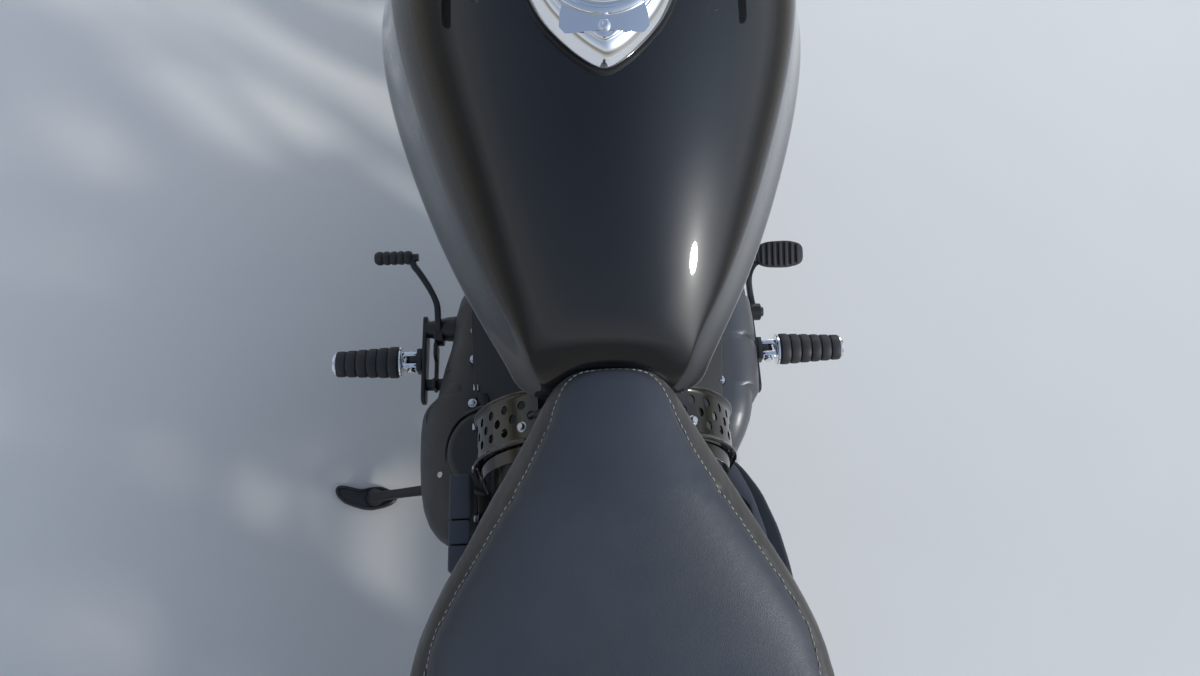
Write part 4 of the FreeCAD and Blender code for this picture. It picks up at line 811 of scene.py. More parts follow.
def tank_ring(x, half, lip, crease, inset, top, under):
    """One closed ring of the tank, up the left side and down the right."""
    side = [(0.0, under), (0.5 * half, under), (half - 0.020, under + 0.2 * (lip - under)),
            (half - 0.006, lip - 0.0035), (half, lip - 0.0025)]
    side += [(half - share * inset, lip + rise * (crease - lip)) for share, rise in FLANK]
    side += [(share * (half - inset), crease + rise * (top - crease)) for share, rise in DOME]
    return mirrored_ring(x, side)


tank = wrapped("tank_shell", [tank_ring(*row) for row in TANK])
smooth_form(tank, 2)
dress(tank, "chassis", "gloss_black", GLOSS_BLACK, "fuel_tank", sharp=60)
print("tank faces", len(tank.data.polygons))

# %% [markdown]
# ## Console and fuel cap
#
# The console is a chromed shield that lies along the tank's crest: a rubber gasket, a rolled side
# that slopes up, then a raised plate with a domed screw near the tip and stepped rings round the cap.
# Its outline is drawn flat, raised and inset step by step, and then every vertex is lifted by the
# height of the tank's crest under it, which bends the flat drawing over the dome.

# %% The shield's outline and its steps
SHIELD = [
    # x, half width, from the tip towards the handlebar
    (0.7540, 0.0), (0.7553, 0.0055), (0.7590, 0.0125), (0.7650, 0.0210), (0.7740, 0.0308), (0.7865, 0.0423),
    (0.8000, 0.0505), (0.8200, 0.0590), (0.8500, 0.0638), (0.8900, 0.0650), (0.9300, 0.0622), (0.9750, 0.0560),
    (1.0150, 0.0475), (1.0420, 0.0330), (1.0530, 0.0170), (1.0560, 0.0),
]
CREST_TOP, CREST_HEIGHT = 0.980, 0.9525
FALL_BEHIND, FALL_AHEAD, FALL_ASIDE = 0.80, 1.38, 1.5  # how fast the crest drops from its top
GASKET_SINK, SHIELD_SEAT = 0.0015, 0.0015  # the gasket starts under the skin, the shield above it
SHIELD_STEPS = [
    # inset, rise
    (0.0012, 0.0050), (0.0016, 0.0046), (0.0024, 0.0036), (0.0028, 0.0018), (0.0008, 0.0001), (0.0005, 0.0013),
    (0.0008, 0.0007), (0.0030, 0.0003), (0.0080, 0.0002), (0.0120, 0.0),
]
SHIELD_BASE = 0.003
SHIELD_RISE = SHIELD_BASE + sum(rise for inset, rise in SHIELD_STEPS)


def crest(x, y):
    """The height of the tank's crest under a place in plan."""
    fall = FALL_BEHIND if x < CREST_TOP else FALL_AHEAD
    return CREST_HEIGHT - fall * (x - CREST_TOP) ** 2 - FALL_ASIDE * y * y


def crest_place(x, lift=0.0):
    """A place on the crest, behind its top, with Z square to it."""
    slope = math.atan(2 * FALL_BEHIND * (CREST_TOP - x))
    return move(x, 0, crest(x, 0) + lift) @ Matrix.Rotation(-slope, 4, "Y")


def bend_over_crest(piece, lift):
    """Lifts every vertex of a flat drawing by the height of the crest under it."""
    for vertex in piece.data.vertices:
        vertex.co.z += crest(vertex.co.x, vertex.co.y) + lift


outline = SHIELD + [(x, -half) for x, half in SHIELD[-2:0:-1]]
gasket = plate("console_gasket", outline, 0.0035)
bend_over_crest(gasket, -GASKET_SINK)
dress(gasket, "chassis", "peg_rubber", BLACK_RUBBER)

# The shield stays a little inside the gasket all round
shield_outline = [(x + (0.0008 if x < 0.9 else -0.0008), y * 0.985) for x, y in outline]
console = plate("console_shield", shield_outline, SHIELD_BASE)
raise_top(console, SHIELD_STEPS)
smooth_form(console, 2)
bend_over_crest(console, SHIELD_SEAT)
dress(console, "chassis", "chrome", CHROME, "console", sharp=50)
print("console faces", len(console.data.polygons))


# %% Cap, its rings and the console's screw
CAP_X, SCREW_X = 0.824, 0.7735
cap_seat = crest_place(CAP_X, SHIELD_RISE)
ring = turned("cap_ring", [
    (0.0455, -0.004), (0.0455, 0.0008), (0.0449, 0.0020), (0.0436, 0.0027), (0.0418, 0.0029), (0.0406, 0.0022),
    (0.0400, 0.0006), (0.0386, 0.0002), (0.0378, 0.0004), (0.0372, 0.0018), (0.0362, 0.0026), (0.0348, 0.0026),
    (0.0338, 0.0012), (0.0338, -0.004)], 96)
cap = turned("cap_dome", [
    (0.0328, -0.002), (0.0328, 0.0046), (0.0321, 0.0058), (0.0304, 0.0064), (0.0290, 0.0066), (0.0281, 0.0078),
    (0.0270, 0.0098), (0.0240, 0.0116), (0.0160, 0.0131), (0.0080, 0.0137), (0.0, 0.0139)], 96)
dress(ring, "chassis", "chrome", CHROME, matrix=MACHINE @ cap_seat, sharp=30)
dress(cap, "chassis", "chrome", CHROME, "fuel_cap", matrix=MACHINE @ cap_seat, sharp=30)

screw = turned("console_screw", [
    (0.0088, -0.002), (0.0088, 0.0004), (0.0083, 0.0012), (0.0074, 0.0011), (0.0060, 0.0004), (0.0046, 0.0004),
    (0.0045, 0.0020), (0.0039, 0.0031), (0.0028, 0.0037), (0.0018, 0.0038), (0.0017, 0.0014), (0.0, 0.0014)], 36)
dress(screw, "chassis", "chrome", CHROME, matrix=MACHINE @ crest_place(SCREW_X, SHIELD_RISE), sharp=30)


# %% Speedometer at the console's wide end
DIAL_X = 0.952
DIAL_SWEEP, DIAL_TICKS, DIAL_EDGE = 260, 24, 0.0335
dial_seat = crest_place(DIAL_X, SHIELD_RISE)
bezel = turned("dial_bezel", [
    (0.0430, -0.006), (0.0430, 0.0050), (0.0424, 0.0072), (0.0410, 0.0086), (0.0392, 0.0088), (0.0378, 0.0078),
    (0.0372, 0.0060), (0.0372, 0.0020), (0.0, 0.0020)], 96)
dial_glass = turned("dial_glass", [(0.0374, 0.0058), (0.0300, 0.0068), (0.0160, 0.0075), (0.0, 0.0077)], 64)
dress(bezel, "chassis", "chrome", CHROME, "speedometer", matrix=MACHINE @ dial_seat, sharp=30)
face = turned("dial_face", [(0.0370, 0.0022), (0.0370, 0.0026), (0.0, 0.0026)], 64)
dress(face, "chassis", "peg_rubber", BLACK_RUBBER, matrix=MACHINE @ dial_seat)
ticks = []
for step in range(DIAL_TICKS + 1):
    width, length = (0.0014, 0.0045) if step % 3 == 0 else (0.0008, 0.0026)
    tick = box("tick", (length, width, 0.0006), (DIAL_EDGE - length / 2, 0, 0.0028))
    place(tick, dial_seat @ turn((step / DIAL_TICKS - 0.5) * DIAL_SWEEP, "Z"))
    ticks.append(tick)
needle = begin("needle", bpy.ops.mesh.primitive_cone_add, vertices=8, radius1=0.0011, radius2=0.0003,
               depth=0.028)
place(needle, dial_seat @ turn(-DIAL_SWEEP / 2, "Z") @ move(0.011, 0, 0.0036) @ turn(90, "Y"))
hub = turned("needle_hub", [(0.0038, 0.0026), (0.0038, 0.0046), (0.0030, 0.0052), (0.0, 0.0053)], 24,
             dial_seat)
dress(joined("dial_marks", ticks + [needle, hub]), "chassis", "steel", STEEL)
dress(dial_glass, "chassis", "chrome", CLEAR_GLASS, matrix=MACHINE @ dial_seat)
print("dial ticks", len(ticks))

# %% [markdown]
# ## Saddle
#
# The saddle is a foam pad under leather, cut from a top panel and two side panels that meet in a
# stitched seam. It starts as a skin wrapped over cross sections. A short cloth simulation with a
# little pressure then swells it as foam does, held within a few millimetres, and the seam is pressed
# in last, because a simulation would iron it flat. The stitches are small beads of thread laid on the
# finished surface along the seam.

# %% Saddle sections
SADDLE = [
    # x, half width, widest height, seam from the middle, seam height, crown, underside
    (0.5790, 0.0200, 0.7830, 0.0140, 0.7900, 0.7925, 0.7740),
    (0.5765, 0.0340, 0.7800, 0.0265, 0.7895, 0.7955, 0.7680),
    (0.5705, 0.0450, 0.7755, 0.0360, 0.7880, 0.7980, 0.7600),
    (0.5560, 0.0565, 0.7680, 0.0445, 0.7840, 0.7975, 0.7500),
    (0.5360, 0.0695, 0.7585, 0.0515, 0.7785, 0.7935, 0.7380),
    (0.5040, 0.0920, 0.7440, 0.0670, 0.7670, 0.7850, 0.7200),
    (0.4680, 0.1155, 0.7290, 0.0910, 0.7520, 0.7720, 0.7000),
    (0.4300, 0.1400, 0.7145, 0.1195, 0.7360, 0.7565, 0.6840),
    (0.3940, 0.1580, 0.7040, 0.1410, 0.7240, 0.7420, 0.6720),
    (0.3620, 0.1675, 0.6985, 0.1480, 0.7165, 0.7310, 0.6640),
    (0.3250, 0.1705, 0.6955, 0.1510, 0.7120, 0.7220, 0.6610),
    (0.2850, 0.1700, 0.6950, 0.1500, 0.7110, 0.7170, 0.6610),
    (0.2480, 0.1640, 0.6980, 0.1435, 0.7150, 0.7200, 0.6640),
    (0.2220, 0.1520, 0.7050, 0.1305, 0.7270, 0.7340, 0.6700),
    (0.2090, 0.1360, 0.7120, 0.1155, 0.7350, 0.7410, 0.6780),
]
# Over the top panel: share of the way to the seam, and share of the way from the seam to the crown
TOP_PANEL = [(0.93, 0.22), (0.78, 0.55), (0.55, 0.82), (0.28, 0.96), (0.0, 1.0)]


def saddle_ring(x, half, wide, seam, seam_high, crown, under):
    """One ring: underside, tuck, side panel, seam and half the top panel, mirrored."""
    side = [
        (0.0, under), (0.50 * half, under), (0.86 * half, under + 0.001), (0.945 * half, under + 0.004),
        (0.985 * half, under + 0.35 * (wide - under)), (half, wide),
        (0.985 * half, 0.55 * wide + 0.45 * seam_high),
        (0.5 * (half + seam) - 0.001, 0.16 * wide + 0.84 * seam_high), (seam, seam_high)]
    side += [(share * seam, seam_high + rise * (crown - seam_high)) for share, rise in TOP_PANEL]
    return mirrored_ring(x, side)


def seam_line(rows):
    """The seam from the left rear round the nose to the right rear, as close points."""
    left = [Vector((row[0], row[3], row[4])) for row in reversed(rows)]
    return curve_between(left + [Vector((p.x, -p.y, p.z)) for p in reversed(left)], 24)


# %% Swell, press the seam in, and sew
FOAM_VOXEL, FOAM_PRESSURE, FOAM_FRAMES = 0.005, 3.0, 15
SEAM_WIDTH = 0.0024
STITCH_PITCH, STITCH_LENGTH, STITCH_RADIUS = 0.0052, 0.0040, 0.00055


def swell(piece, most):
    """Cloth with a little pressure, and no point moved further than the cap."""
    modify(piece, "REMESH", mode="VOXEL", voxel_size=FOAM_VOXEL)
    rest = [vertex.co.copy() for vertex in piece.data.vertices]
    only(piece)
    cloth = piece.modifiers.new("foam", "CLOTH")
    cloth.settings.use_pressure = True
    cloth.settings.uniform_pressure_force = FOAM_PRESSURE
    cloth.settings.effector_weights.gravity = 0
    cloth.settings.quality = 5
    for step in range(FOAM_FRAMES):
        bpy.context.scene.frame_set(step + 1)
    bpy.ops.object.modifier_apply(modifier=cloth.name)
    bpy.context.scene.frame_set(1)
    for vertex, start in zip(piece.data.vertices, rest):
        shift = vertex.co - start
        if shift.length > most:
            vertex.co = start + shift.normalized() * most


def press_seam(piece, line, depth):
    """Pushes the skin in along a line, in a soft groove, and says how many points moved."""
    tree = KDTree(len(line))
    for index, point in enumerate(line):
        tree.insert(point, index)
    tree.balance()
    moves = []
    for vertex in piece.data.vertices:
        near = tree.find(vertex.co)[2]
        if near < 3 * SEAM_WIDTH:
            moves.append((vertex.index, vertex.normal * -depth * math.exp(-(near / SEAM_WIDTH) ** 2)))
    for index, shift in moves:
        piece.data.vertices[index].co += shift
    return len(moves)


def sew(name, piece, line):
    """Small beads of thread on the skin, along a line, at an even pitch."""
    beads, run, wanted = [], 0.0, 0.0
    for near, far in zip(line, line[1:]):
        step = (far - near).length
        while step and wanted <= run + step:
            spot = near.lerp(far, (wanted - run) / step)
            _, point, normal, _ = piece.closest_point_on_mesh(spot)
            ahead = (far - near).normalized()
            across = normal.cross(ahead).normalized()
            axes = Matrix((ahead * STITCH_LENGTH / 2, across * STITCH_RADIUS,
                           ahead.cross(across).normalized() * STITCH_RADIUS)).transposed()
            beads.append(Matrix.Translation(point + normal * STITCH_RADIUS * 0.35) @ axes.to_4x4())
            wanted += STITCH_PITCH
        run += step
    stitch = begin(name, bpy.ops.mesh.primitive_uv_sphere_add, segments=6, ring_count=4, radius=1)
    leave_editing()
    unit = stitch.data.copy()
    mesh = bmesh.new()
    for matrix in beads:
        start = len(mesh.verts)
        mesh.from_mesh(unit)
        mesh.verts.ensure_lookup_table()
        for vertex in mesh.verts[start:]:
            vertex.co = matrix @ vertex.co
    bmesh.ops.recalc_face_normals(mesh, faces=mesh.faces)
    mesh.to_mesh(stitch.data)
    mesh.free()
    print(name, len(beads), "stitches")
    return stitch


def sewn_pad(name, rows, most, groove, stitches_name):
    """A padded skin over cross sections, with its seam pressed in and sewn."""
    pad = wrapped(name, [saddle_ring(*row) for row in rows])
    smooth_form(pad, 2)
    swell(pad, most)
    smooth_form(pad, 1)
    seam = seam_line(rows)
    print(name, "seam points pressed", press_seam(pad, seam, groove))
    return pad, sew(stitches_name, pad, seam)


# %% The saddle with its top and side panels
NOSE_X = 0.5775  # ahead of it all leather belongs to the side panels
saddle, stitches = sewn_pad("saddle", SADDLE, 0.004, 0.0022, "saddle_stitches")
saddle.data.materials.append(SADDLE_LEATHER_PAINTED_SKY)
saddle.data.materials.append(SIDE_LEATHER_PAINTED_GROUND)
# Top-panel faces take the leather with painted sky reflection; side panels, nose and downward faces take the leather
# with painted ground reflection.
seam_places = [(row[0], row[3]) for row in reversed(SADDLE)]
for face in saddle.data.polygons:
    middle = face.center
    outside = abs(middle.y) > between(seam_places, middle.x) or middle.x > NOSE_X or face.normal.z < -0.2
    face.material_index = 1 if outside else 0
dress(saddle, "chassis", "saddle_leather", (SADDLE_LEATHER_PAINTED_SKY, SIDE_LEATHER_PAINTED_GROUND), "rider_seat", sharp=80)
dress(stitches, "chassis", "saddle_leather", THREAD, sharp=60)

# %% [markdown]
# ## Pillion pad
#
# The small pad on the rear fender is made as the saddle is: sections, foam, seam, stitches. Its
# underside follows the fender's arc, so the rows drop towards both ends.

# %% The pad and its seam
PILLION = [
    # x, half width, widest height, seam from the middle, seam height, crown, underside
    (0.1860, 0.070, 0.7080, 0.058, 0.7210, 0.7270, 0.6740),
    (0.1780, 0.086, 0.7120, 0.074, 0.7290, 0.7400, 0.6700),
    (0.1500, 0.097, 0.7150, 0.085, 0.7380, 0.7510, 0.6740),
    (0.1000, 0.104, 0.7190, 0.091, 0.7430, 0.7570, 0.6860),
    (0.0400, 0.106, 0.7220, 0.093, 0.7460, 0.7600, 0.6940),
    (-0.0200, 0.105, 0.7220, 0.092, 0.7450, 0.7590, 0.6950),
    (-0.0700, 0.099, 0.7170, 0.087, 0.7390, 0.7530, 0.6900),
    (-0.1000, 0.090, 0.7110, 0.078, 0.7310, 0.7430, 0.6820),
    (-0.1140, 0.072, 0.7040, 0.060, 0.7190, 0.7270, 0.6790),
]
pillion, pad_stitches = sewn_pad("pillion_pad_skin", PILLION, 0.003, 0.0020, "pillion_stitches")
# The pad's bluish leather carries painted sky reflection, as the saddle's top does.
dress(pillion, "chassis", "saddle_leather", SADDLE_LEATHER_PAINTED_SKY, "pillion_pad", sharp=80)
dress(pad_stitches, "chassis", "saddle_leather", THREAD, sharp=60)

# %% [markdown]
# ## Engine covers
#
# The two covers are the parts of the engine that show beside the tank and the saddle. Each is a
# casting that swells out from a flat flange. The flange has the outline round two circles, and the
# swell is wrapped over sections along the machine, whose width comes from a table. On the left a
# dome stands out from the rear half, with a plateau and a raised seam above it, and the front half
# is lower. On the right two creases part the cover into bands. Bolts stand on the flanges and on
# small lugs on top.

# %% A casting that swells from a flange
LAP = 0.004  # how far the skin reaches behind its flange and stays inside its outline
FLANGE_BACK, LEFT_FACE, RIGHT_FACE = 0.1285, 0.141, 0.144


def slot_height(x, low, high):
    """Half the height at a place along an outline round two circles, and its middle."""
    (x1, z1, r1), (x2, z2, r2) = low, high
    lean = math.asin((r1 - r2) / (x2 - x1))
    start, end = x1 + r1 * math.sin(lean), x2 + r2 * math.sin(lean)
    if x <= start:
        return math.sqrt(max(r1 * r1 - (x - x1) ** 2, 0)), z1
    if x >= end:
        return math.sqrt(max(r2 * r2 - (x - x2) ** 2, 0)), z2
    share = (x - start) / (end - start)
    return (r1 + share * (r2 - r1)) * math.cos(lean), z1 + share * (z2 - z1)


def swelling(name, low, high, flange, widths, side, fullness):
    """The skin from the flange out to the width given along X; fullness 1 is round, less is boxy."""
    inner_low, inner_high = (low[0], low[1], low[2] - LAP), (high[0], high[1], high[2] - LAP)
    first, last = low[0] - inner_low[2], high[0] + inner_high[2]
    places = {first + (last - first) * (1 - math.cos(math.pi * step / 30)) / 2 for step in range(31)}
    places |= {x for x, width in widths if first < x < last}
    rings = []
    for x in sorted(places):
        half, middle = slot_height(x, inner_low, inner_high)
        half = max(half, LAP)
        reach = between(widths, x) - flange
        ring = [Vector((x, side * (flange - LAP), middle + end * half)) for end in (-1, 1)]
        for turn_step in range(25):
            angle = math.pi * (0.5 - turn_step / 24)
            rise = math.copysign(abs(math.sin(angle)) ** fullness[0], math.sin(angle))
            out = flange + reach * max(math.cos(angle), 0) ** fullness[1]
            ring.append(Vector((x, side * out, middle + rise * half)))
        rings.append(ring)
    return wrapped(name, rings)


def slot_flange(name, low, high, far, side):
    """A flat flange with the same outline, from behind the skin out to its face."""
    points = []
    for centre, start in ((low, 0.5), (high, -0.5)):
        for step in range(25):
            angle = math.pi * (start + step / 24)
            points.append((centre[0] + centre[2] * math.cos(angle), centre[1] + centre[2] * math.sin(angle)))
    flange = plate(name, points, far - FLANGE_BACK,
                   move(y=-FLANGE_BACK if side < 0 else far) @ turn(90, "X"))
    round_edges(flange, 0.0015)
    return flange


def hex_bolt():
    """A hexagon head with a chamfered top on a washer, standing on Z."""
    radius, height = 0.0048, 0.005
    head = begin("bolt", bpy.ops.mesh.primitive_cylinder_add, vertices=6, radius=radius, depth=height)
    leave_editing()
    round_edges(head, 0.0006, 40)
    edge, foot = radius * 1.35, -height / 2
    return joined("bolt", [head, turned("washer", [(edge, foot - 0.0012), (edge, foot), (0, foot)], 24)])


# %% The left cover
LEFT_LOW, LEFT_HIGH = (0.622, 0.322, 0.112), (0.800, 0.325, 0.092)
LEFT_WIDTHS = [(0.514, 0.146), (0.522, 0.168), (0.532, 0.186), (0.542, 0.200), (0.556, 0.210),
               (0.575, 0.2170), (0.600, 0.2210), (0.635, 0.2230), (0.668, 0.2235), (0.690, 0.2220),
               (0.6975, 0.2190), (0.7025, 0.2120), (0.7075, 0.2060), (0.7150, 0.2030), (0.735, 0.1990),
               (0.752, 0.1950), (0.778, 0.1870), (0.800, 0.1830), (0.826, 0.1810), (0.850, 0.1760),
               (0.872, 0.1640), (0.888, 0.1480)]
left_flange = slot_flange("left_flange", LEFT_LOW, LEFT_HIGH, LEFT_FACE, 1)
left_skin = swelling("left_cover", LEFT_LOW, LEFT_HIGH, LEFT_FACE, LEFT_WIDTHS, 1, (1.0, 0.95))
smooth_form(left_skin, 1)
PLATEAU = rounded([(0.566, 0.120), (0.572, 0.146), (0.600, 0.1730), (0.632, 0.1770), (0.658, 0.1640),
                   (0.673, 0.142), (0.673, 0.120)], 0.014, 4)
plateau = plate("plateau", PLATEAU, 0.060, move(z=0.372))
round_edges(plateau, 0.0075, 40, 4)
SEAM = [(0.6755, 0.1320, 0.4320), (0.6750, 0.1440, 0.4300), (0.6600, 0.1680, 0.4240),
        (0.6320, 0.1805, 0.4180), (0.5990, 0.1770, 0.4140), (0.5700, 0.1520, 0.4100),
        (0.5620, 0.1250, 0.4000)]
beads = [piped("seam_bead", SEAM, 0.0022, 3),
         piped("joint_bead", [(0.668, 0.1435, 0.4255), (0.700, 0.1435, 0.4220), (0.771, 0.1430, 0.4135)], 0.0019, 3),
         piped("cross_bead", [(0.738, 0.1440, 0.4170), (0.738, 0.1650, 0.4090), (0.738, 0.1850, 0.3900)], 0.0016, 3)]
clutch_boss = turned("clutch_boss", [
    (0.0, 0.010), (0.010, 0.0095), (0.016, 0.007), (0.020, 0.001), (0.021, -0.014)],
    40, move(0.700, 0.1700, 0.4040) @ turn(-36, "X"))
pocket = turned("pocket", [
    (0.0150, -0.014), (0.0150, 0.0035), (0.0136, 0.0048), (0.0116, 0.0035), (0.0110, -0.007), (0.0, -0.007)],
    36, move(0.679, 0.1965, 0.388) @ turn(-44, "X"))
left_casting = joined("left_casting", [left_skin, left_flange, plateau, clutch_boss, pocket] + beads)
dress(left_casting, "chassis", "engine_black", ENGINE_BLACK, "left_cover", sharp=40)
print("left casting faces", len(left_casting.data.polygons))


# %% The right cover
RIGHT_LOW, RIGHT_HIGH = (0.690, 0.335, 0.084), (0.835, 0.335, 0.092)
RIGHT_WIDTHS = [(0.610, 0.154), (0.618, 0.166), (0.632, 0.180), (0.648, 0.1890), (0.664, 0.1960),
                (0.680, 0.2005), (0.6975, 0.2025), (0.7000, 0.2100), (0.7030, 0.2125), (0.722, 0.2140),
                (0.7560, 0.2150), (0.7600, 0.2135), (0.7620, 0.2075), (0.7650, 0.2075), (0.7670, 0.2130),
                (0.7710, 0.2150), (0.800, 0.2150), (0.8210, 0.2135), (0.8240, 0.2110), (0.8260, 0.2045),
                (0.8290, 0.2045), (0.8320, 0.2090), (0.8380, 0.2090), (0.856, 0.2030), (0.878, 0.1920),
                (0.900, 0.1760), (0.922, 0.1500)]
right_flange = slot_flange("right_flange", RIGHT_LOW, RIGHT_HIGH, RIGHT_FACE, -1)
right_skin = swelling("right_cover", RIGHT_LOW, RIGHT_HIGH, RIGHT_FACE, RIGHT_WIDTHS, -1, (0.62, 0.42))
gear_cap = turned("gear_cap", [
    (0.0, 0.006), (0.022, 0.0058), (0.030, 0.004), (0.033, 0.0005), (0.034, -0.012)],
    56, move(0.786, -0.2095, 0.322) @ turn(90, "X"))
right_bead = piped("right_joint", [(0.668, -0.1460, 0.4200), (0.700, -0.1465, 0.4200),
                                   (0.764, -0.1470, 0.4225)], 0.0019, 3)
right_casting = joined("right_casting", [right_skin, right_flange, gear_cap, right_bead])
dress(right_casting, "chassis", "engine_grey", ENGINE_GREY, "right_cover", sharp=28)
print("right casting faces", len(right_casting.data.polygons))


# %% Bolts round the flanges and on the lugs on top
FLANGE_BOLTS = 7
LUGS = [
    # x, y, z and the lean outwards in degrees
    (0.778, 0.1460, 0.426, 8), (0.738, 0.1460, 0.430, 8), (0.680, 0.1470, 0.434, 8),
    (0.600, 0.1850, 0.410, 24), (0.786, -0.1930, 0.408, -26), (0.762, -0.1570, 0.430, -8),
    (0.731, -0.1960, 0.396, -26), (0.700, -0.1540, 0.428, -8),
]
bolt = hex_bolt()
fixings, lugs = [], []
for low, high, side, face in ((LEFT_LOW, LEFT_HIGH, 1, LEFT_FACE), (RIGHT_LOW, RIGHT_HIGH, -1, RIGHT_FACE)):
    first, last = low[0] - low[2], high[0] + high[2]
    for step in range(FLANGE_BOLTS):
        x = first + (last - first) * (0.10 + 0.80 * step / (FLANGE_BOLTS - 1))
        half, middle = slot_height(x, low, high)
        for end in (1, -1):
            spot = move(x, side * (face + 0.0025), middle + end * (half - 0.0005))
            fixings.append(copied(bolt, spot @ turn(-90 * side, "X"), "cover_bolt"))
for x, y, z, tilt in LUGS:
    stand = move(x, y, z) @ turn(-tilt, "X")
    fixings.append(copied(bolt, stand @ Matrix.Scale(0.84, 4), "lug_bolt"))
    lugs.append(turned("bolt_lug", [(0.0066, -0.0032), (0.0074, -0.0042), (0.0080, -0.0260)], 28, stand))
bpy.data.objects.remove(bolt)
dress(joined("cover_bolts", fixings), "chassis", "steel", STEEL, sharp=30)
dress(joined("bolt_lugs", lugs), "chassis", "engine_black", ENGINE_BLACK)
print("cover bolts", len(fixings))

# %% [markdown]
# ## Perforated covers, electrics box and side cover
#
# A thin sheet is bent over each side of the rear cylinder, behind the tank, with round holes in
# staggered columns and rims that turn up. It starts as a grid on part of an oval tube, gets a
# thickness, and rods cut the holes. The electrics box is three lids in a row, and the side cover on
# the right is a glossy shell with a satin panel on top.

# %% Bent sheets with staggered holes
COVER_BACK, COVER_FRONT, COVER_MIDDLE, COVER_HEIGHT = 0.552, 0.597, 0.040, 0.600
COVER_WIDE, COVER_TALL, COVER_SKIRT, COVER_TOP = 0.0805, 0.0960, 0.040, 76
HOLE_RADIUS, HOLE_STEP = 0.0041, 13
HOLE_COLUMNS = [
    # x, first angle, how many
    (0.5650, -13, 6), (0.5755, -6.5, 7), (0.5860, -13, 7),
]


def cover_spot(x, degrees, out=0.0):
    """A place on the oval tube, or below it on the skirt when the angle is negative."""
    angle = math.radians(max(degrees, 0))
    drop = COVER_SKIRT * min(degrees, 0) / 30
    return Vector((x, COVER_MIDDLE + (COVER_WIDE + out) * math.cos(angle),
                   COVER_HEIGHT + (COVER_TALL + out) * math.sin(angle) + drop))


def cover_way(degrees):
    """The direction that the sheet faces there."""
    angle = math.radians(max(degrees, 0))
    return Vector((0, math.cos(angle) / COVER_WIDE, math.sin(angle) / COVER_TALL)).normalized()


SHEET_ANGLES = [-30, -20, -10] + [COVER_TOP * step / 22 for step in range(23)]
# Along X from the back of the sheet, and how far the sheet stands out there
SHEET_PLACES = [(0.000, 0.0036), (0.0012, 0.0018), (0.0030, 0.0004), (0.0050, 0), (0.0400, 0),
                (0.0420, 0.0004), (0.0438, 0.0018), (0.0450, 0.0032)]
FLANGE_PLACES = [(-0.0008, -0.0030), (-0.0050, -0.0034), (-0.0130, -0.0050)]


def bent_sheet(name, places, thickness):
    """A sheet laid on the oval tube; each row of places is a distance along X and how far out it is."""
    piece = laid_grid(name, len(SHEET_ANGLES), len(places), lambda row, column: cover_spot(
        COVER_BACK + places[column][0], SHEET_ANGLES[row], places[column][1]))
    bpy.ops.mesh.normals_make_consistent(inside=False)
    leave_editing()
    modify(piece, "SOLIDIFY", thickness=thickness, offset=0)
    return piece


sheet = bent_sheet("perforated_sheet", SHEET_PLACES, 0.0016)
rods = []
for x, first, count in HOLE_COLUMNS:
    for step in range(count):
        angle = first + HOLE_STEP * step
        rod = begin("punch", bpy.ops.mesh.primitive_cylinder_add, vertices=24, radius=HOLE_RADIUS, depth=0.016)
        place(rod, along(cover_spot(x, angle), cover_way(angle)))
        rods.append(rod)
punches = len(rods)
cutter = joined("punches", rods)
modify(sheet, "BOOLEAN", operation="DIFFERENCE", object=cutter, solver="EXACT")
bpy.data.objects.remove(cutter)
rims = [piped("rolled_rim", [cover_spot(x, angle, 0.0030) for angle in SHEET_ANGLES], 0.0013, 3)
        for x in (COVER_BACK, COVER_FRONT)]
rear_flange = bent_sheet("rear_flange", FLANGE_PLACES, 0.0014)
screw = turned("cover_screw", [
    (0.0046, -0.002), (0.0046, 0.0008), (0.0034, 0.0010), (0.0034, 0.0032), (0.0026, 0.0040), (0.0, 0.0042)],
    24, along(cover_spot(0.5665, 65), cover_way(65)))
both_sides(screw)
dress(screw, "chassis", "steel", STEEL, sharp=30)
sheet = joined("perforated_sheets", [sheet, rear_flange] + rims)
both_sides(sheet)
dress(sheet, "chassis", "engine_black", BLACK_CHROME, "perforated_covers")
print("holes per cover", punches)


# %% Electrics box in three lids
LIDS = [
    # back, front, foot, top
    (0.4785, 0.5052, 0.331, 0.4810),
    (0.5064, 0.5318, 0.441, 0.4810),
    (0.5330, 0.5815, 0.441, 0.4818),
]
LID_MIDDLE, LID_WIDTH = 0.1535, 0.0225
lids = []
for low, high, foot, top in LIDS:
    lids.append(box("lid", (high - low, LID_WIDTH, top - foot), ((low + high) / 2, LID_MIDDLE, (top + foot) / 2)))
    round_edges(lids[-1], 0.0020, 40, 3)
# The lids' bluish tone is painted sky reflection.
dress(joined("electrics_lids", lids), "chassis", "frame_black", BOX_BLACK_PAINTED_SKY, "electrics_box")
print("lids", len(lids))


# %% Side cover on the right: a shell with a raised panel on top
SHELL = [(0.5790, -0.1100), (0.5770, -0.1260), (0.5620, -0.1430), (0.5350, -0.1600), (0.4970, -0.1730),
         (0.4580, -0.1800), (0.4000, -0.1840), (0.4000, -0.1430), (0.5200, -0.1430), (0.5490, -0.1130)]
PANEL = [(0.5760, -0.1120), (0.5740, -0.1220), (0.5600, -0.1360), (0.5300, -0.1490), (0.4930, -0.1580),
         (0.4400, -0.1630), (0.4100, -0.1640), (0.4100, -0.1450), (0.5200, -0.1450), (0.5500, -0.1150)]
shell = plate("side_shell", rounded(SHELL, 0.010, 4), 0.1130, move(z=0.4320))
round_edges(shell, 0.0060, 40, 4)
panel = plate("side_panel", rounded(PANEL, 0.008, 4), 0.0100, move(z=0.5400))
round_edges(panel, 0.0016, 40, 3)
dress(shell, "chassis", slot_of["side_cover"], GLOSS_BLACK, "side_cover")
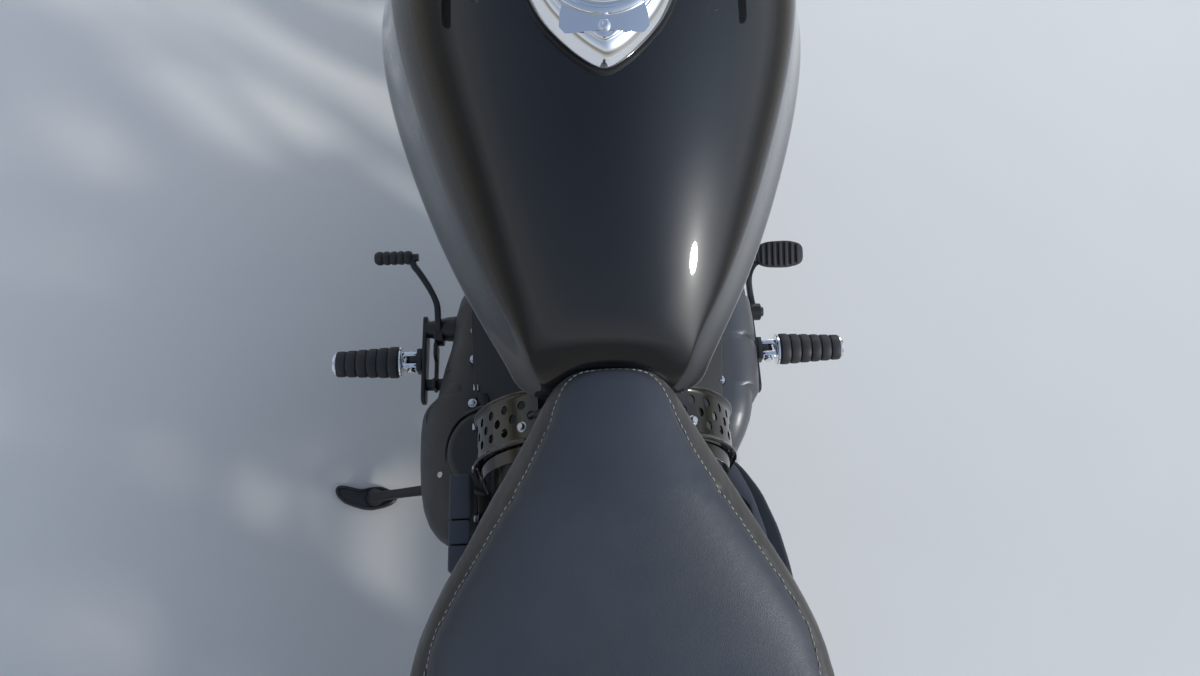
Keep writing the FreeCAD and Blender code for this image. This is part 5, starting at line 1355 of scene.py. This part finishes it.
# The panel's bluish tone is painted sky reflection.
dress(panel, "chassis", "frame_black", BOX_BLACK_PAINTED_SKY)

# %% [markdown]
# ## Side stand
#
# Two ears hold the lug under the frame, a tapered leg runs from them to the ground, and its foot is
# a leaf with a curled rim. The leaf's outline is drawn on the ground plane, which leans against the
# machine by the angle that the machine stands at.

# %% Ears, leg and leaf
STAND_PIVOT, STAND_FOOT = Vector((0.657, 0.140, 0.150)), Vector((0.657, 0.352, 0.0621))
ground = Matrix.Translation(STAND_FOOT) @ turn(10, "X")
leg_way = ground @ Vector((0, 0, 0.010)) - STAND_PIVOT
LEAF = [(0.0186, 0.0475), (0.0214, 0.0400), (0.0190, 0.0290), (0.0150, 0.0150), (0.0150, 0.0050),
        (0.0183, -0.0053), (0.0190, -0.0200), (0.0150, -0.0330), (0.0080, -0.0440), (-0.0020, -0.0460),
        (-0.0090, -0.0390), (-0.0140, -0.0267), (-0.0179, -0.0096), (-0.0165, 0.0060), (-0.0123, 0.0190),
        (-0.0068, 0.0336), (0.0030, 0.0440), (0.0112, 0.0485)]
leaf = plate("stand_leaf", rounded(LEAF, 0.004, 2), 0.0070, ground)
round_edges(leaf, 0.0022, segments=3)
rim = piped("leaf_rim", [ground @ Vector((x * 0.86, y * 0.92, 0.0072)) for x, y in LEAF + LEAF[:1]], 0.0022, 3)
leg = turned("stand_leg", [
    (0.0, 0.030), (0.0120, 0.030), (0.0115, 0.044), (0.0092, 0.070), (0.0078, 0.120), (0.0072, 0.170),
    (0.0078, 0.200), (0.0100, leg_way.length - 0.012), (0.0, leg_way.length - 0.004)],
    32, along(STAND_PIVOT, leg_way))
crown = turned("stand_crown", [(0.0, 0.012), (0.0080, 0.011), (0.0135, 0.006), (0.0160, -0.002), (0.0, -0.002)],
               32, ground @ move(0.001, -0.012, 0.006))

# The ears are drawn with X down the leg and Z along the hinge
run = leg_way.normalized()
hinge = Vector((1, 0, 0)).cross(run) + Vector((-0.06, 0, 0))
hinge = (hinge - run * hinge.dot(run)).normalized()
stand_place = Matrix.Translation(STAND_PIVOT) @ Matrix((run, hinge.cross(run), hinge)).transposed().to_4x4()
EAR_RADIUS, EAR_LENGTH = 0.016, 0.0455
ear_outline = [(EAR_RADIUS * math.cos(math.radians(a)), EAR_RADIUS * math.sin(math.radians(a)))
               for a in range(90, 271, 12)]
ear_outline += [(EAR_LENGTH, -EAR_RADIUS), (EAR_LENGTH, EAR_RADIUS)]
ears = [plate("stand_ear", ear_outline, 0.0068, move(z=low)) for low in (0.0064, -0.0132)]
clevis = joined("stand_clevis", ears + [box("stand_bridge", (0.0190, 0.0310, 0.0200), (0.0360, 0, 0))])
round_edges(clevis, 0.0012)
stand_pin = turned("stand_pin", [
    (0.0, -0.0168), (0.0088, -0.0168), (0.0098, -0.0158), (0.0098, -0.0134), (0.0066, -0.0133),
    (0.0066, 0.0146), (0.0058, 0.0160), (0.0, 0.0160)], 32)
clevis = joined("stand_clevis", [clevis, stand_pin])
place(clevis, stand_place)
stand_arm = joined("side_stand_arm", [clevis, leg, leaf, rim, crown])
dress(stand_arm, "stand", slot_of["side_stand"], FRAME_BLACK, "side_stand")
print("stand leg", round(leg_way.length, 4))

# %% [markdown]
# ## Tyres with a cut tread
#
# A tyre is a turned form: a round crown, a bulging side wall and a bead that grips the rim. The
# tread is cut into it, a groove round the middle and slanting grooves to each side. The section is
# spun with many steps, faces are picked by their place in the pattern and inset downwards, and then
# the whole crown is twisted a little more the further it lies from the middle, which slants the
# grooves.

# %% One tyre: section, grooves, twist
TREAD_ROWS = (0.05, 0.24, 0.44, 0.64, 0.84, 1.0)  # shares of the tread's half width
TREAD_STEPS, GROOVE_EVERY = 288, 9


def tyre_section(radius, width, crown, rim, share):
    """The closed section, up one side wall, over the crown and down the other."""
    half = width / 2
    centre = radius - crown
    end = math.asin(share * half / crown)
    edge = centre + crown * math.cos(end)
    side = [(centre + crown * math.cos(end * row), crown * math.sin(end * row)) for row in TREAD_ROWS]
    wall = edge - rim
    side += [(edge - 0.004, half * (share + 0.025)), (edge - 0.20 * wall, half * 0.985), (rim + 0.56 * wall, half),
             (rim + 0.53 * wall, half * 0.985), (rim + 0.36 * wall, half * 0.95), (rim + 0.20 * wall, half * 0.86),
             (rim + 0.18 * wall, half * 0.83), (rim + 0.06 * wall, half * 0.72), (rim + 0.0004, half * 0.68)]
    return [(r, -z) for r, z in reversed(side)] + side


def cut_tyre(name, radius, width, crown, rim, share, depth, twist):
    """A turned tyre with a groove round its middle and slanting grooves beside it."""
    section = tyre_section(radius, width, crown, rim, share)
    piece = turned(name, section + section[:1], TREAD_STEPS)
    half = width / 2
    end = math.asin(share * half / crown)
    rows = [crown * math.sin(end * row) for row in TREAD_ROWS]
    floor_line = radius - crown + crown * math.cos(end) - 0.001

    def middle(face):
        centre = face.calc_center_median()
        return abs(centre.z) < rows[0] * 0.9 and centre.xy.length > floor_line

    def slanting(face):
        centre = face.calc_center_median()
        step = int((math.atan2(centre.y, centre.x) % (2 * math.pi)) / (2 * math.pi) * TREAD_STEPS)
        wanted = 0 if centre.z > 0 else GROOVE_EVERY // 2
        in_band = rows[1] < abs(centre.z) < rows[4] and centre.xy.length > floor_line
        return in_band and step % GROOVE_EVERY == wanted

    edit(piece)
    for test in (middle, slanting):
        count = pick(piece, "FACE", test)
        bpy.ops.mesh.inset(thickness=0.0008, depth=-depth, use_even_offset=True)
        print(name, "groove faces", count)
    leave_editing()
    for vertex in piece.data.vertices:
        spot = vertex.co.copy()
        if spot.xy.length > floor_line - depth - 0.006:
            angle = twist * abs(spot.z) / half
            vertex.co = Matrix.Rotation(angle, 3, "Z") @ spot
    return piece


# radius, width, crown radius, rim radius, the tread's share of the width, groove depth, twist
FRONT_TYRE = (0.331, 0.100, 0.050, 0.2413, 0.90, 0.0045, 0.11)
REAR_TYRE = (0.323, 0.150, 0.080, 0.2032, 0.86, 0.0055, 0.14)
front_tyre = cut_tyre("front_tyre_tread", *FRONT_TYRE)
dress(front_tyre, "front_wheel_set", "tyre_rubber", TYRE_RUBBER, "front_tyre", matrix=FRONT_WHEEL, sharp=40)
rear_tyre = cut_tyre("rear_tyre_tread", *REAR_TYRE)
dress(rear_tyre, "rear_wheel_set", "tyre_rubber", TYRE_RUBBER, "rear_tyre", matrix=REAR_WHEEL, sharp=40)

# %% [markdown]
# ## Rear shocks
#
# Each shock is a chromed damper with an eye at both ends, a rod inside, and a coil spring between a
# notched collar and a top cover. The spring is a line with its turns worked out by a loop, given a
# round section. The body is turned on the lathe.

# %% Damper, spring and eyes
SHOCK_LOW, SHOCK_HIGH = Vector((0.030, 0.146, 0.330)), Vector((0.105, 0.146, 0.653))
SHOCK_RUN = (SHOCK_HIGH - SHOCK_LOW).length
SPRING_TURNS, SPRING_START, SPRING_END, SPRING_RADIUS = 9, 0.064, 0.262, 0.0212
TURN_STEPS = 12

spring_points = []
for index in range(SPRING_TURNS * TURN_STEPS + 1):
    angle = index * 2 * math.pi / TURN_STEPS
    height = SPRING_START + (SPRING_END - SPRING_START) * index / (SPRING_TURNS * TURN_STEPS)
    spring_points.append((SPRING_RADIUS * math.cos(angle), SPRING_RADIUS * math.sin(angle), height))
spring = piped("shock_spring", spring_points, 0.0043, sides=2)
damper = turned("shock_damper", [
    (0.0, 0.012), (0.010, 0.012), (0.012, 0.018), (0.012, 0.030), (0.0165, 0.036), (0.0165, 0.040), (0.0272, 0.041),
    (0.0280, 0.043), (0.0280, 0.058), (0.0268, 0.060), (0.0175, 0.061), (0.0160, 0.064), (0.0160, 0.170),
    (0.0150, 0.173), (0.0070, 0.174), (0.0065, 0.176), (0.0065, 0.262), (0.0255, 0.263), (0.0280, 0.266),
    (0.0280, 0.298), (0.0262, 0.304), (0.0180, 0.309), (0.0120, 0.311), (0.0110, SHOCK_RUN - 0.012),
    (0.0, SHOCK_RUN - 0.012)], 48)
eye = turned("shock_eye", [
    (0.0090, -0.0100), (0.0160, -0.0100), (0.0170, -0.0090), (0.0170, 0.0090), (0.0160, 0.0100), (0.0090, 0.0100),
    (0.0090, -0.0100)], 40, turn(90, "X"))
shock_place = along(SHOCK_LOW, SHOCK_HIGH - SHOCK_LOW)
top_eye = copied(eye, Matrix.Translation(SHOCK_HIGH), "shock_top_eye")
place(eye, Matrix.Translation(SHOCK_LOW))
place(damper, shock_place)
place(spring, shock_place)
shock = joined("shock_body_left", [damper, eye, top_eye])
dress_both(shock, "shock_body_right", "chassis", "steel", CHROME, "rear_shocks", sharp=30)
dress_both(spring, "shock_spring_right", "chassis", "steel", CHROME, sharp=60)
print("spring turns", SPRING_TURNS)

# %% [markdown]
# ## Foot pegs and their brackets
#
# Each bracket is a flat bar outside the engine cover with a tapered horn behind its front end, a
# second bar inside it and a block with a tongue. A folding peg is a chromed fork on a pin through
# that tongue, a thin flange, a rubber in six ribs that taper outwards, and a domed end.

# %% Brackets outside the engine
PEG_HINGE = Vector((0.777, 0.240, 0.330))
BAR = rounded([(0.7190, 0.3130), (0.7900, 0.3090), (0.8410, 0.3090), (0.8430, 0.3385), (0.7900, 0.3390),
               (0.7190, 0.3350)], (0.009, 0.012, 0.010, 0.010, 0.012, 0.009), 4)
outer_bar = plate("outer_bar", BAR, 0.0055, move(y=0.2255) @ turn(90, "X"))
HOOK = rounded([(0.7350, 0.3180), (0.8000, 0.3180), (0.8000, 0.3440), (0.7800, 0.3440), (0.7760, 0.3300),
                (0.7520, 0.3300), (0.7480, 0.3440), (0.7350, 0.3440)], 0.005, 4)
inner_bar = plate("inner_bar", HOOK, 0.0045, move(y=0.2095) @ turn(90, "X"))
horn = turned("horn", [
    (0.0, 0.0365), (0.0105, 0.0360), (0.0115, 0.0310), (0.0135, 0.0180), (0.0165, 0.0060), (0.0175, -0.0060),
    (0.0, -0.0060)], 40, move(0.8230, 0.1865, 0.3300) @ turn(-90, "X"))
horn_rear = turned("horn_rear", [
    (0.0, 0.0365), (0.0075, 0.0360), (0.0085, 0.0), (0.0085, -0.0160), (0.0, -0.0160)],
    32, move(0.7460, 0.1865, 0.3220) @ turn(-90, "X"))
block = box("peg_block", (0.0310, 0.0070, 0.0180), (0.7770, 0.2285, 0.3300))
tongue_outline = rounded([(0.2300, -0.0090), (0.2420, -0.0090), (0.2490, 0.0), (0.2420, 0.0090), (0.2300, 0.0090)],
                         (0.001, 0.006, 0.008, 0.006, 0.001), 4)
tongue = plate("peg_tongue", [(y, z + 0.3300) for y, z in tongue_outline], 0.0080,
               Matrix(((0, 0, 1, 0.7730), (1, 0, 0, 0), (0, 1, 0, 0), (0, 0, 0, 1))))
mount = joined("peg_bracket", [outer_bar, inner_bar, block, tongue])
round_edges(mount, 0.0012)
mount = joined("peg_bracket", [mount, horn, horn_rear])
both_sides(mount)
dress(mount, "chassis", slot_of["peg_mounts"], FRAME_BLACK, "peg_mounts")


# %% Peg rubber, fork, flange and end
PEG_RIBS, PEG_START, PEG_END = 6, 0.0150, 0.0985
PEG_THICK, PEG_THIN, PEG_CORE = 0.0216, 0.0176, 0.008
PEG_FLAT = 0.80


def peg_rubber():
    """Six ribs, each a flat band with a soft front edge and a narrow groove behind."""
    pitch = (PEG_END - PEG_START) / PEG_RIBS
    profile = [(PEG_CORE, PEG_START)]
    for rib in range(PEG_RIBS):
        low = PEG_START + rib * pitch
        top = PEG_THICK + (PEG_THIN - PEG_THICK) * rib / (PEG_RIBS - 1)
        profile += [(top - 0.0022, low + 0.0002), (top - 0.0022, low + 0.0014), (top - 0.0006, low + 0.0020),
                    (top, low + 0.0034), (top + 0.0001, low + 0.0086), (top - 0.0002, low + 0.0120),
                    (top - 0.0009, low + pitch - 0.0003)]
    return turned("peg_rubber_left", profile + [(PEG_CORE, PEG_END)], 40)


peg_place = Matrix.Translation(PEG_HINGE) @ turn(-90, "X")
flatten = Matrix.Scale(PEG_FLAT, 4, (0, 1, 0))
rubber = peg_rubber()
flange = turned("peg_flange", [
    (0.0, 0.0118), (0.0206, 0.0118), (0.0216, 0.0124), (0.0216, 0.0144), (0.0206, 0.0151), (0.0, 0.0151)], 48)
end_cap = turned("peg_end", [
    (0.0, PEG_END - 0.001), (0.0168, PEG_END - 0.0005), (0.0168, PEG_END + 0.0012), (0.0150, PEG_END + 0.0034),
    (0.0105, PEG_END + 0.0050), (0.0055, PEG_END + 0.0058), (0.0, PEG_END + 0.0060)], 48)
for part in (rubber, flange, end_cap):
    place(part, peg_place @ flatten)
FORK = rounded([(-0.0112, -0.0080), (-0.0052, -0.0080), (-0.0052, 0.0096), (0.0052, 0.0096), (0.0052, -0.0080),
                (0.0112, -0.0080), (0.0112, 0.0122), (-0.0112, 0.0122)],
               (0.0020, 0.0020, 0.0026, 0.0026, 0.0020, 0.0020, 0.0020, 0.0020), 3)
fork = plate("peg_fork", FORK, 0.0160, Matrix.Translation(PEG_HINGE) @ move(z=-0.0080))
round_edges(fork, 0.0012)
pin = turned("peg_pin", [
    (0.0, -0.0160), (0.0050, -0.0160), (0.0058, -0.0152), (0.0058, -0.0130), (0.0040, -0.0128), (0.0040, 0.0136),
    (0.0032, 0.0144), (0.0, 0.0144)], 32, Matrix.Translation(PEG_HINGE) @ turn(90, "Y"))
metal = joined("peg_metal_left", [flange, end_cap, fork, pin])
rubber_right = opposite(rubber, "peg_rubber_right")
metal_right = opposite(metal, "peg_metal_right")
dress(rubber, "left_peg", "peg_rubber", BLACK_RUBBER, "foot_peg_left", sharp=30)
dress(metal, "left_peg", "chrome", CHROME, sharp=30)
dress(rubber_right, "right_peg", "peg_rubber", BLACK_RUBBER, "foot_peg_right", sharp=30)
dress(metal_right, "right_peg", "chrome", CHROME, sharp=30)

# %% [markdown]
# ## Shift lever and brake pedal
#
# Both are forged arms on a boss at the footrest bar. The shift lever ends in a small ribbed rubber,
# and the brake pedal in an oval pad with raised ribs. The arms are flat bars that bend in two
# directions, so a rectangle is carried along a few places and wrapped.

# %% A bar swept along its path
def smooth_path(points, steps):
    """A curve through all the given places, its ends included."""
    before, after = points[0] * 2 - points[1], points[-1] * 2 - points[-2]
    return curve_between([before] + points + [after], steps) + [points[-1]]


def swept(name, places, section, side, steps=6):
    """A section of (across, up) points carried along a path; side is the way that across points."""
    path = smooth_path([Vector(p) for p in places], steps)
    rings = []
    for index, spot in enumerate(path):
        ahead = (path[min(index + 1, len(path) - 1)] - path[max(index - 1, 0)]).normalized()
        rise = ahead.cross(Vector(side)).normalized()
        across = rise.cross(ahead)
        rings.append([spot + across * a + rise * b for a, b in section])
    return wrapped(name, rings)


# %% Shift lever
SHIFT_STRAP = rounded_box(0.0040, 0.0045, 0.0014, 3)
SHIFT_RIBS, SHIFT_PITCH = 5, 0.0094
shift_arm = swept("shift_arm", [
    (0.812, 0.2035, 0.332), (0.828, 0.2035, 0.348), (0.850, 0.2050, 0.355), (0.872, 0.2150, 0.361),
    (0.890, 0.2270, 0.370), (0.899, 0.2340, 0.376), (0.908, 0.2345, 0.380)], SHIFT_STRAP, (0, 1, 0))
shift_boss = turned("shift_boss", [
    (0.0, 0.0), (0.0115, 0.0), (0.0125, 0.0010), (0.0125, 0.0110), (0.0115, 0.0120), (0.0, 0.0120)],
    40, move(0.812, 0.1975, 0.330) @ turn(-90, "X"))
shift_stem = turned("shift_stem", [(0.0, 0.0), (0.0052, 0.0), (0.0052, 0.030), (0.0, 0.030)],
                    24, move(0.908, 0.2270, 0.380) @ turn(-90, "X"))
rib_profile = [(0.004, 0.0)]
for rib in range(SHIFT_RIBS):
    low = rib * SHIFT_PITCH
    rib_profile += [(0.0078, low + 0.0002), (0.0078, low + 0.0014), (0.0090, low + 0.0022),
                    (0.0094, low + 0.0048), (0.0090, low + 0.0080)]
rib_profile += [(0.0078, 0.0472), (0.0076, 0.0482), (0.0060, 0.0495), (0.0, 0.0498)]
shift_rubber = turned("shift_rubber", rib_profile, 32, move(0.908, 0.2355, 0.380) @ turn(-90, "X"))
shift_metal = joined("shift_metal", [shift_arm, shift_boss, shift_stem])
dress(shift_metal, "chassis", "steel", FRAME_BLACK, "shift_lever")
dress(shift_rubber, "chassis", "peg_rubber", BLACK_RUBBER, sharp=30)
print("shift lever ribs", SHIFT_RIBS)


# %% Brake pedal
BRAKE_STRAP = rounded_box(0.0036, 0.0055, 0.0012, 3)
BRAKE_RIBS, BRAKE_PITCH = 7, 0.0080
PAD_OVAL = rounded([(-0.0320, -0.0120), (-0.0180, -0.0175), (0.0120, -0.0185), (0.0320, -0.0130),
                    (0.0320, 0.0130), (0.0120, 0.0185), (-0.0180, 0.0175), (-0.0320, 0.0120)], 0.009, 4)
pad_place = move(0.895, -0.2620, 0.3830) @ turn(-90, "Z") @ turn(24, "X")
pad_base = plate("brake_pad_rubber", PAD_OVAL, 0.0080, move(z=-0.0080))
round_edges(pad_base, 0.0018, segments=3)
ribs = []
for index in range(BRAKE_RIBS):
    across = (index - (BRAKE_RIBS - 1) / 2) * BRAKE_PITCH
    half = 0.0162 - 0.0034 * max(0.0, abs(across) - 0.012) / 0.012
    ribs.append(plate("brake_pad_rib", rounded_box(0.0019, half, 0.0015, 3, across), 0.0026, move(z=-0.0004)))
    round_edges(ribs[-1], 0.0006)
brake_rubber = joined("brake_pad_rubber", [pad_base] + ribs)
place(brake_rubber, pad_place)
pad_tray = plate("brake_pad_tray", [(x * 0.94, y * 0.92) for x, y in PAD_OVAL], 0.0030, move(z=-0.0105))
place(pad_tray, pad_place)
brake_arm = swept("brake_arm", [
    (0.834, -0.2290, 0.330), (0.856, -0.2270, 0.331), (0.880, -0.2240, 0.348), (0.890, -0.2280, 0.366),
    (0.895, -0.2420, 0.373)], BRAKE_STRAP, (0, 1, 0))
brake_boss = turned("brake_boss", [
    (0.0, 0.0), (0.0108, 0.0), (0.0118, 0.0010), (0.0118, 0.0140), (0.0108, 0.0150), (0.0070, 0.0152),
    (0.0064, 0.0188), (0.0, 0.0190)], 40, move(0.834, -0.2223, 0.330) @ turn(90, "X"))
brake_metal = joined("brake_metal", [brake_arm, brake_boss, pad_tray])
dress(brake_metal, "chassis", "steel", FRAME_BLACK, "brake_pedal")
dress(brake_rubber, "chassis", "peg_rubber", BLACK_RUBBER, sharp=30)
print("brake pad ribs", len(ribs))

# %% [markdown]
# ## Lamps
#
# The headlight is a chromed bowl with a polished reflector inside, closed by a domed glass in a
# rolled ring. Bowl and reflector are one lathe section, so the wall has its real thickness. The
# front indicators are small pods with amber glass on a bar under the lamp, and the tail lamp is a
# red glass in a dark housing on the rear fender.

# %% Headlight
LAMP_PLACE = along((1.400, 0, 0.828), (1, 0, 0))
bowl = turned("headlight_bowl", [
    (0.0, -0.0780), (0.0180, -0.0770), (0.0340, -0.0730), (0.0490, -0.0660), (0.0620, -0.0560), (0.0735, -0.0420),
    (0.0820, -0.0280), (0.0880, -0.0100), (0.0915, 0.0080), (0.0935, 0.0280), (0.0940, 0.0480), (0.0905, 0.0500),
    (0.0880, 0.0570), (0.0850, 0.0560), (0.0780, 0.0340), (0.0640, 0.0130), (0.0460, -0.0040), (0.0250, -0.0150),
    (0.0120, -0.0170), (0.0, -0.0170)], 96)
lamp_ring = turned("headlight_ring", [
    (0.0860, 0.0560), (0.0945, 0.0500), (0.0950, 0.0530), (0.0950, 0.0640), (0.0940, 0.0680), (0.0915, 0.0705),
    (0.0880, 0.0712), (0.0862, 0.0690), (0.0858, 0.0640), (0.0860, 0.0560)], 96)
glass = turned("headlight_glass", [
    (0.0, 0.0790), (0.0300, 0.0782), (0.0560, 0.0745), (0.0780, 0.0680), (0.0862, 0.0640), (0.0870, 0.0665),
    (0.0780, 0.0712), (0.0560, 0.0776), (0.0300, 0.0812), (0.0, 0.0820)], 96)
bulb = turned("headlight_bulb", [
    (0.0, -0.0175), (0.0120, -0.0175), (0.0120, -0.0110), (0.0068, -0.0080), (0.0068, 0.0180), (0.0058, 0.0230),
    (0.0030, 0.0255), (0.0, 0.0260)], 32)
lamp_metal = joined("headlight_metal", [bowl, lamp_ring])
dress(lamp_metal, "steering", "chrome", CHROME, "headlight", matrix=MACHINE @ LAMP_PLACE)
dress(bulb, "steering", "chrome", MIRROR_GLASS, matrix=MACHINE @ LAMP_PLACE)
dress(glass, "steering", "chrome", CLEAR_GLASS, matrix=MACHINE @ LAMP_PLACE, sharp=50)
print("headlight faces", len(lamp_metal.data.polygons))


# %% Front indicators on their bar
BAR_HEIGHT, BAR_AHEAD, POD_OUT = 0.722, 1.430, 0.168
pod_place = along((BAR_AHEAD, POD_OUT, BAR_HEIGHT), (1, 0, 0))
bar = piped("indicator_bar", [(BAR_AHEAD, -0.150, BAR_HEIGHT), (BAR_AHEAD, 0, BAR_HEIGHT),
                              (BAR_AHEAD, 0.150, BAR_HEIGHT)], 0.008)
stem = turned("indicator_stem", [
    (0.0, -0.002), (0.0110, -0.002), (0.0140, 0.002), (0.0140, 0.0120), (0.0100, 0.0150), (0.0100, 0.0296),
    (0.0, 0.0296)], 40, move(BAR_AHEAD, 0, BAR_HEIGHT))
hanger = piped("indicator_hanger", [(1.3665, 0, 0.7219), (1.3802, 0, 0.7301), (BAR_AHEAD, 0, BAR_HEIGHT)],
               0.010)
pod = turned("indicator_pod", [
    (0.0, -0.0260), (0.0110, -0.0255), (0.0200, -0.0225), (0.0265, -0.0150), (0.0292, -0.0040), (0.0300, 0.0080),
    (0.0296, 0.0098), (0.0280, 0.0100), (0.0272, 0.0080), (0.0180, -0.0020), (0.0, -0.0060)], 64, pod_place)
amber = turned("indicator_glass_left", [
    (0.0, 0.0225), (0.0140, 0.0205), (0.0240, 0.0140), (0.0276, 0.0085), (0.0286, 0.0095), (0.0250, 0.0165),
    (0.0150, 0.0235), (0.0, 0.0258)], 64, pod_place)
indicator_metal = joined("indicator_metal", [bar, stem, hanger, pod, opposite(pod, "indicator_pod_right")])
dress(indicator_metal, "steering", "chrome", CHROME, "front_indicators")
dress_both(amber, "indicator_glass_right", "steering", "lamp_red", AMBER_GLASS, sharp=50)


# %% Tail lamp on the rear fender
TAIL_PLACE = along((-0.3213, 0, 0.5045), (-1, 0, 0))
TAIL_OUTLINE = rounded_box(0.020, 0.054, 0.016, 6)
tail_base = plate("tail_base", [(x * 1.04, y) for x, y in TAIL_OUTLINE], 0.0140, move(z=0.004))
round_edges(tail_base, 0.0020, segments=3)
tail_neck = plate("tail_neck", rounded_box(0.010, 0.030, 0.006, 4), 0.030, move(x=0.004, z=-0.018))
tail_lens = plate("tail_lens", [(x * 0.94, y * 0.965) for x, y in TAIL_OUTLINE], 0.0100, move(z=0.0182))
raise_top(tail_lens, [(0.0030, 0.0022), (0.0050, 0.0014), (0.0060, 0.0006)])
tail_metal = joined("tail_housing", [tail_base, tail_neck])
dress(tail_metal, "chassis", "gloss_black", CAST_BLACK, "tail_lamp", matrix=MACHINE @ TAIL_PLACE)
dress(tail_lens, "chassis", "lamp_red", RED_GLASS, matrix=MACHINE @ TAIL_PLACE, sharp=50)

# %% [markdown]
# ## Grips, control levers and mirrors
#
# The handlebar's end gives the direction for all that is clamped on it. The grip is a ribbed rubber
# turned along that line. The lever swings in front of it from a clamped perch, its blade a flattened
# bar with a ball at the tip. The mirror is a round shell on a thin stalk, with a flat glass that
# faces the rider.

# %% Directions at the handlebar's end
BAR_BEND, BAR_END = Vector((1.040, 0.268, 1.033)), Vector((0.925, 0.411, 1.020))
GRIP_LENGTH = 0.118
grip_run = (BAR_END - BAR_BEND).normalized()
grip_end = BAR_END + grip_run * 0.004
grip_start = grip_end - grip_run * GRIP_LENGTH
rake_turn = Matrix.Rotation(-RAKE, 3, "Y")
steering_axis = rake_turn @ Vector((0, 0, 1))
lever_way = grip_run.cross(steering_axis).normalized()
if lever_way.x < 0:
    lever_way.negate()
perch_up = lever_way.cross(grip_run)
if perch_up.z < 0:
    perch_up.negate()
perch_start = grip_start - grip_run * 0.034


def bar_spot(start, run, way):
    """A place some way outwards along the grip and some way in front of it."""
    return start + grip_run * run + lever_way * way


# %% Ribbed grip
GRIP_RIBS, GRIP_PITCH = 21, 0.0048
grip_profile = [(0.0131, 0.0), (0.0205, 0.0), (0.0220, 0.0008), (0.0220, 0.0042), (0.0205, 0.0050),
                (0.0168, 0.0060)]
for rib in range(GRIP_RIBS):
    low = 0.0080 + rib * GRIP_PITCH
    grip_profile += [(0.0155, low), (0.0155, low + 0.0012), (0.0170, low + 0.0018), (0.0170, low + 0.0042)]
grip_profile += [(0.0168, 0.1120), (0.0160, 0.1165), (0.0120, 0.1180), (0.0, 0.1180), (0.0, 0.1150),
                 (0.0131, 0.1150), (0.0131, 0.0)]
grip = turned("grip_left", grip_profile, 32, along(grip_start, grip_run))
dress_both(grip, "grip_right", "steering", "peg_rubber", BLACK_RUBBER, "grips", sharp=30)
print("grip ribs", GRIP_RIBS)


# %% Perch and lever blade
perch = turned("perch", [
    (0.0130, 0.0), (0.0200, 0.0), (0.0220, 0.0016), (0.0220, 0.0284), (0.0200, 0.0300), (0.0130, 0.0300),
    (0.0130, 0.0)], 40, along(perch_start, grip_run))
perch_arm = swept("perch_arm", [
    bar_spot(perch_start, 0.010, 0.014), bar_spot(perch_start, 0.011, 0.032),
    bar_spot(perch_start, 0.014, 0.054)], rounded_box(0.0100, 0.0070, 0.004, 3), grip_run)
blade = swept("lever_blade", [
    bar_spot(perch_start, 0.004, 0.050), bar_spot(perch_start, 0.028, 0.062),
    bar_spot(perch_start, 0.060, 0.064), bar_spot(grip_end, -0.060, 0.058),
    bar_spot(grip_end, -0.024, 0.060), bar_spot(grip_end, -0.006, 0.066)],
    rounded_box(0.0045, 0.0065, 0.0040, 4), lever_way, 5)
ball = turned("lever_ball", [
    (0.0, -0.0078), (0.0040, -0.0068), (0.0068, -0.0038), (0.0078, 0.0), (0.0068, 0.0038), (0.0040, 0.0068),
    (0.0, 0.0078)], 24, along(bar_spot(grip_end, -0.004, 0.066), grip_run))
pivot_bolt = turned("lever_pivot", [
    (0.0, -0.0110), (0.0066, -0.0110), (0.0070, -0.0100), (0.0070, 0.0100), (0.0062, 0.0112),
    (0.0034, 0.0114), (0.0, 0.0090)], 24, along(bar_spot(perch_start, 0.012, 0.050), perch_up))
lever_metal = joined("lever_left", [blade, ball, pivot_bolt])
perch_metal = joined("perch_left", [perch, perch_arm])
dress_both(lever_metal, "lever_right", "steering", "steel", ALLOY, "control_levers")
dress_both(perch_metal, "perch_right", "steering", "slider_black", CAST_BLACK)


# %% Mirrors
mirror_foot = perch_start + grip_run * 0.015 + perch_up * 0.0220
mirror_top = mirror_foot + rake_turn @ Vector((0.020, 0.030, 0.118))
mirror_centre = mirror_top + rake_turn @ Vector((0.016, 0.008, 0.010))
mirror_place = along(mirror_centre, (1, 0.1, 0))
stalk = piped("mirror_stalk", [
    mirror_foot, mirror_foot + perch_up * 0.030, mirror_foot + perch_up * 0.052, mirror_top,
    mirror_centre + rake_turn @ Vector((0.012, 0, 0))], 0.0052, sides=4)
shell = turned("mirror_shell", [
    (0.0, 0.0255), (0.0240, 0.0235), (0.0420, 0.0170), (0.0550, 0.0080), (0.0612, 0.0010), (0.0620, -0.0010),
    (0.0612, -0.0020), (0.0590, -0.0012), (0.0588, 0.0012), (0.0, 0.0012)], 72, mirror_place)
mirror_glass = turned("mirror_glass_left", [
    (0.0, 0.0012), (0.0585, 0.0012), (0.0585, 0.0), (0.0572, -0.0006), (0.0, -0.0006)], 72, mirror_place)
mirror_metal = joined("mirror_left", [stalk, shell])
dress_both(mirror_metal, "mirror_right", "steering", "chrome", CHROME, "mirrors")
dress_both(mirror_glass, "mirror_glass_right", "steering", "chrome", MIRROR_GLASS)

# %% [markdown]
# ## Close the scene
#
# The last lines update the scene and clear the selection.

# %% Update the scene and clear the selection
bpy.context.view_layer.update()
bpy.ops.object.select_all(action="DESELECT")
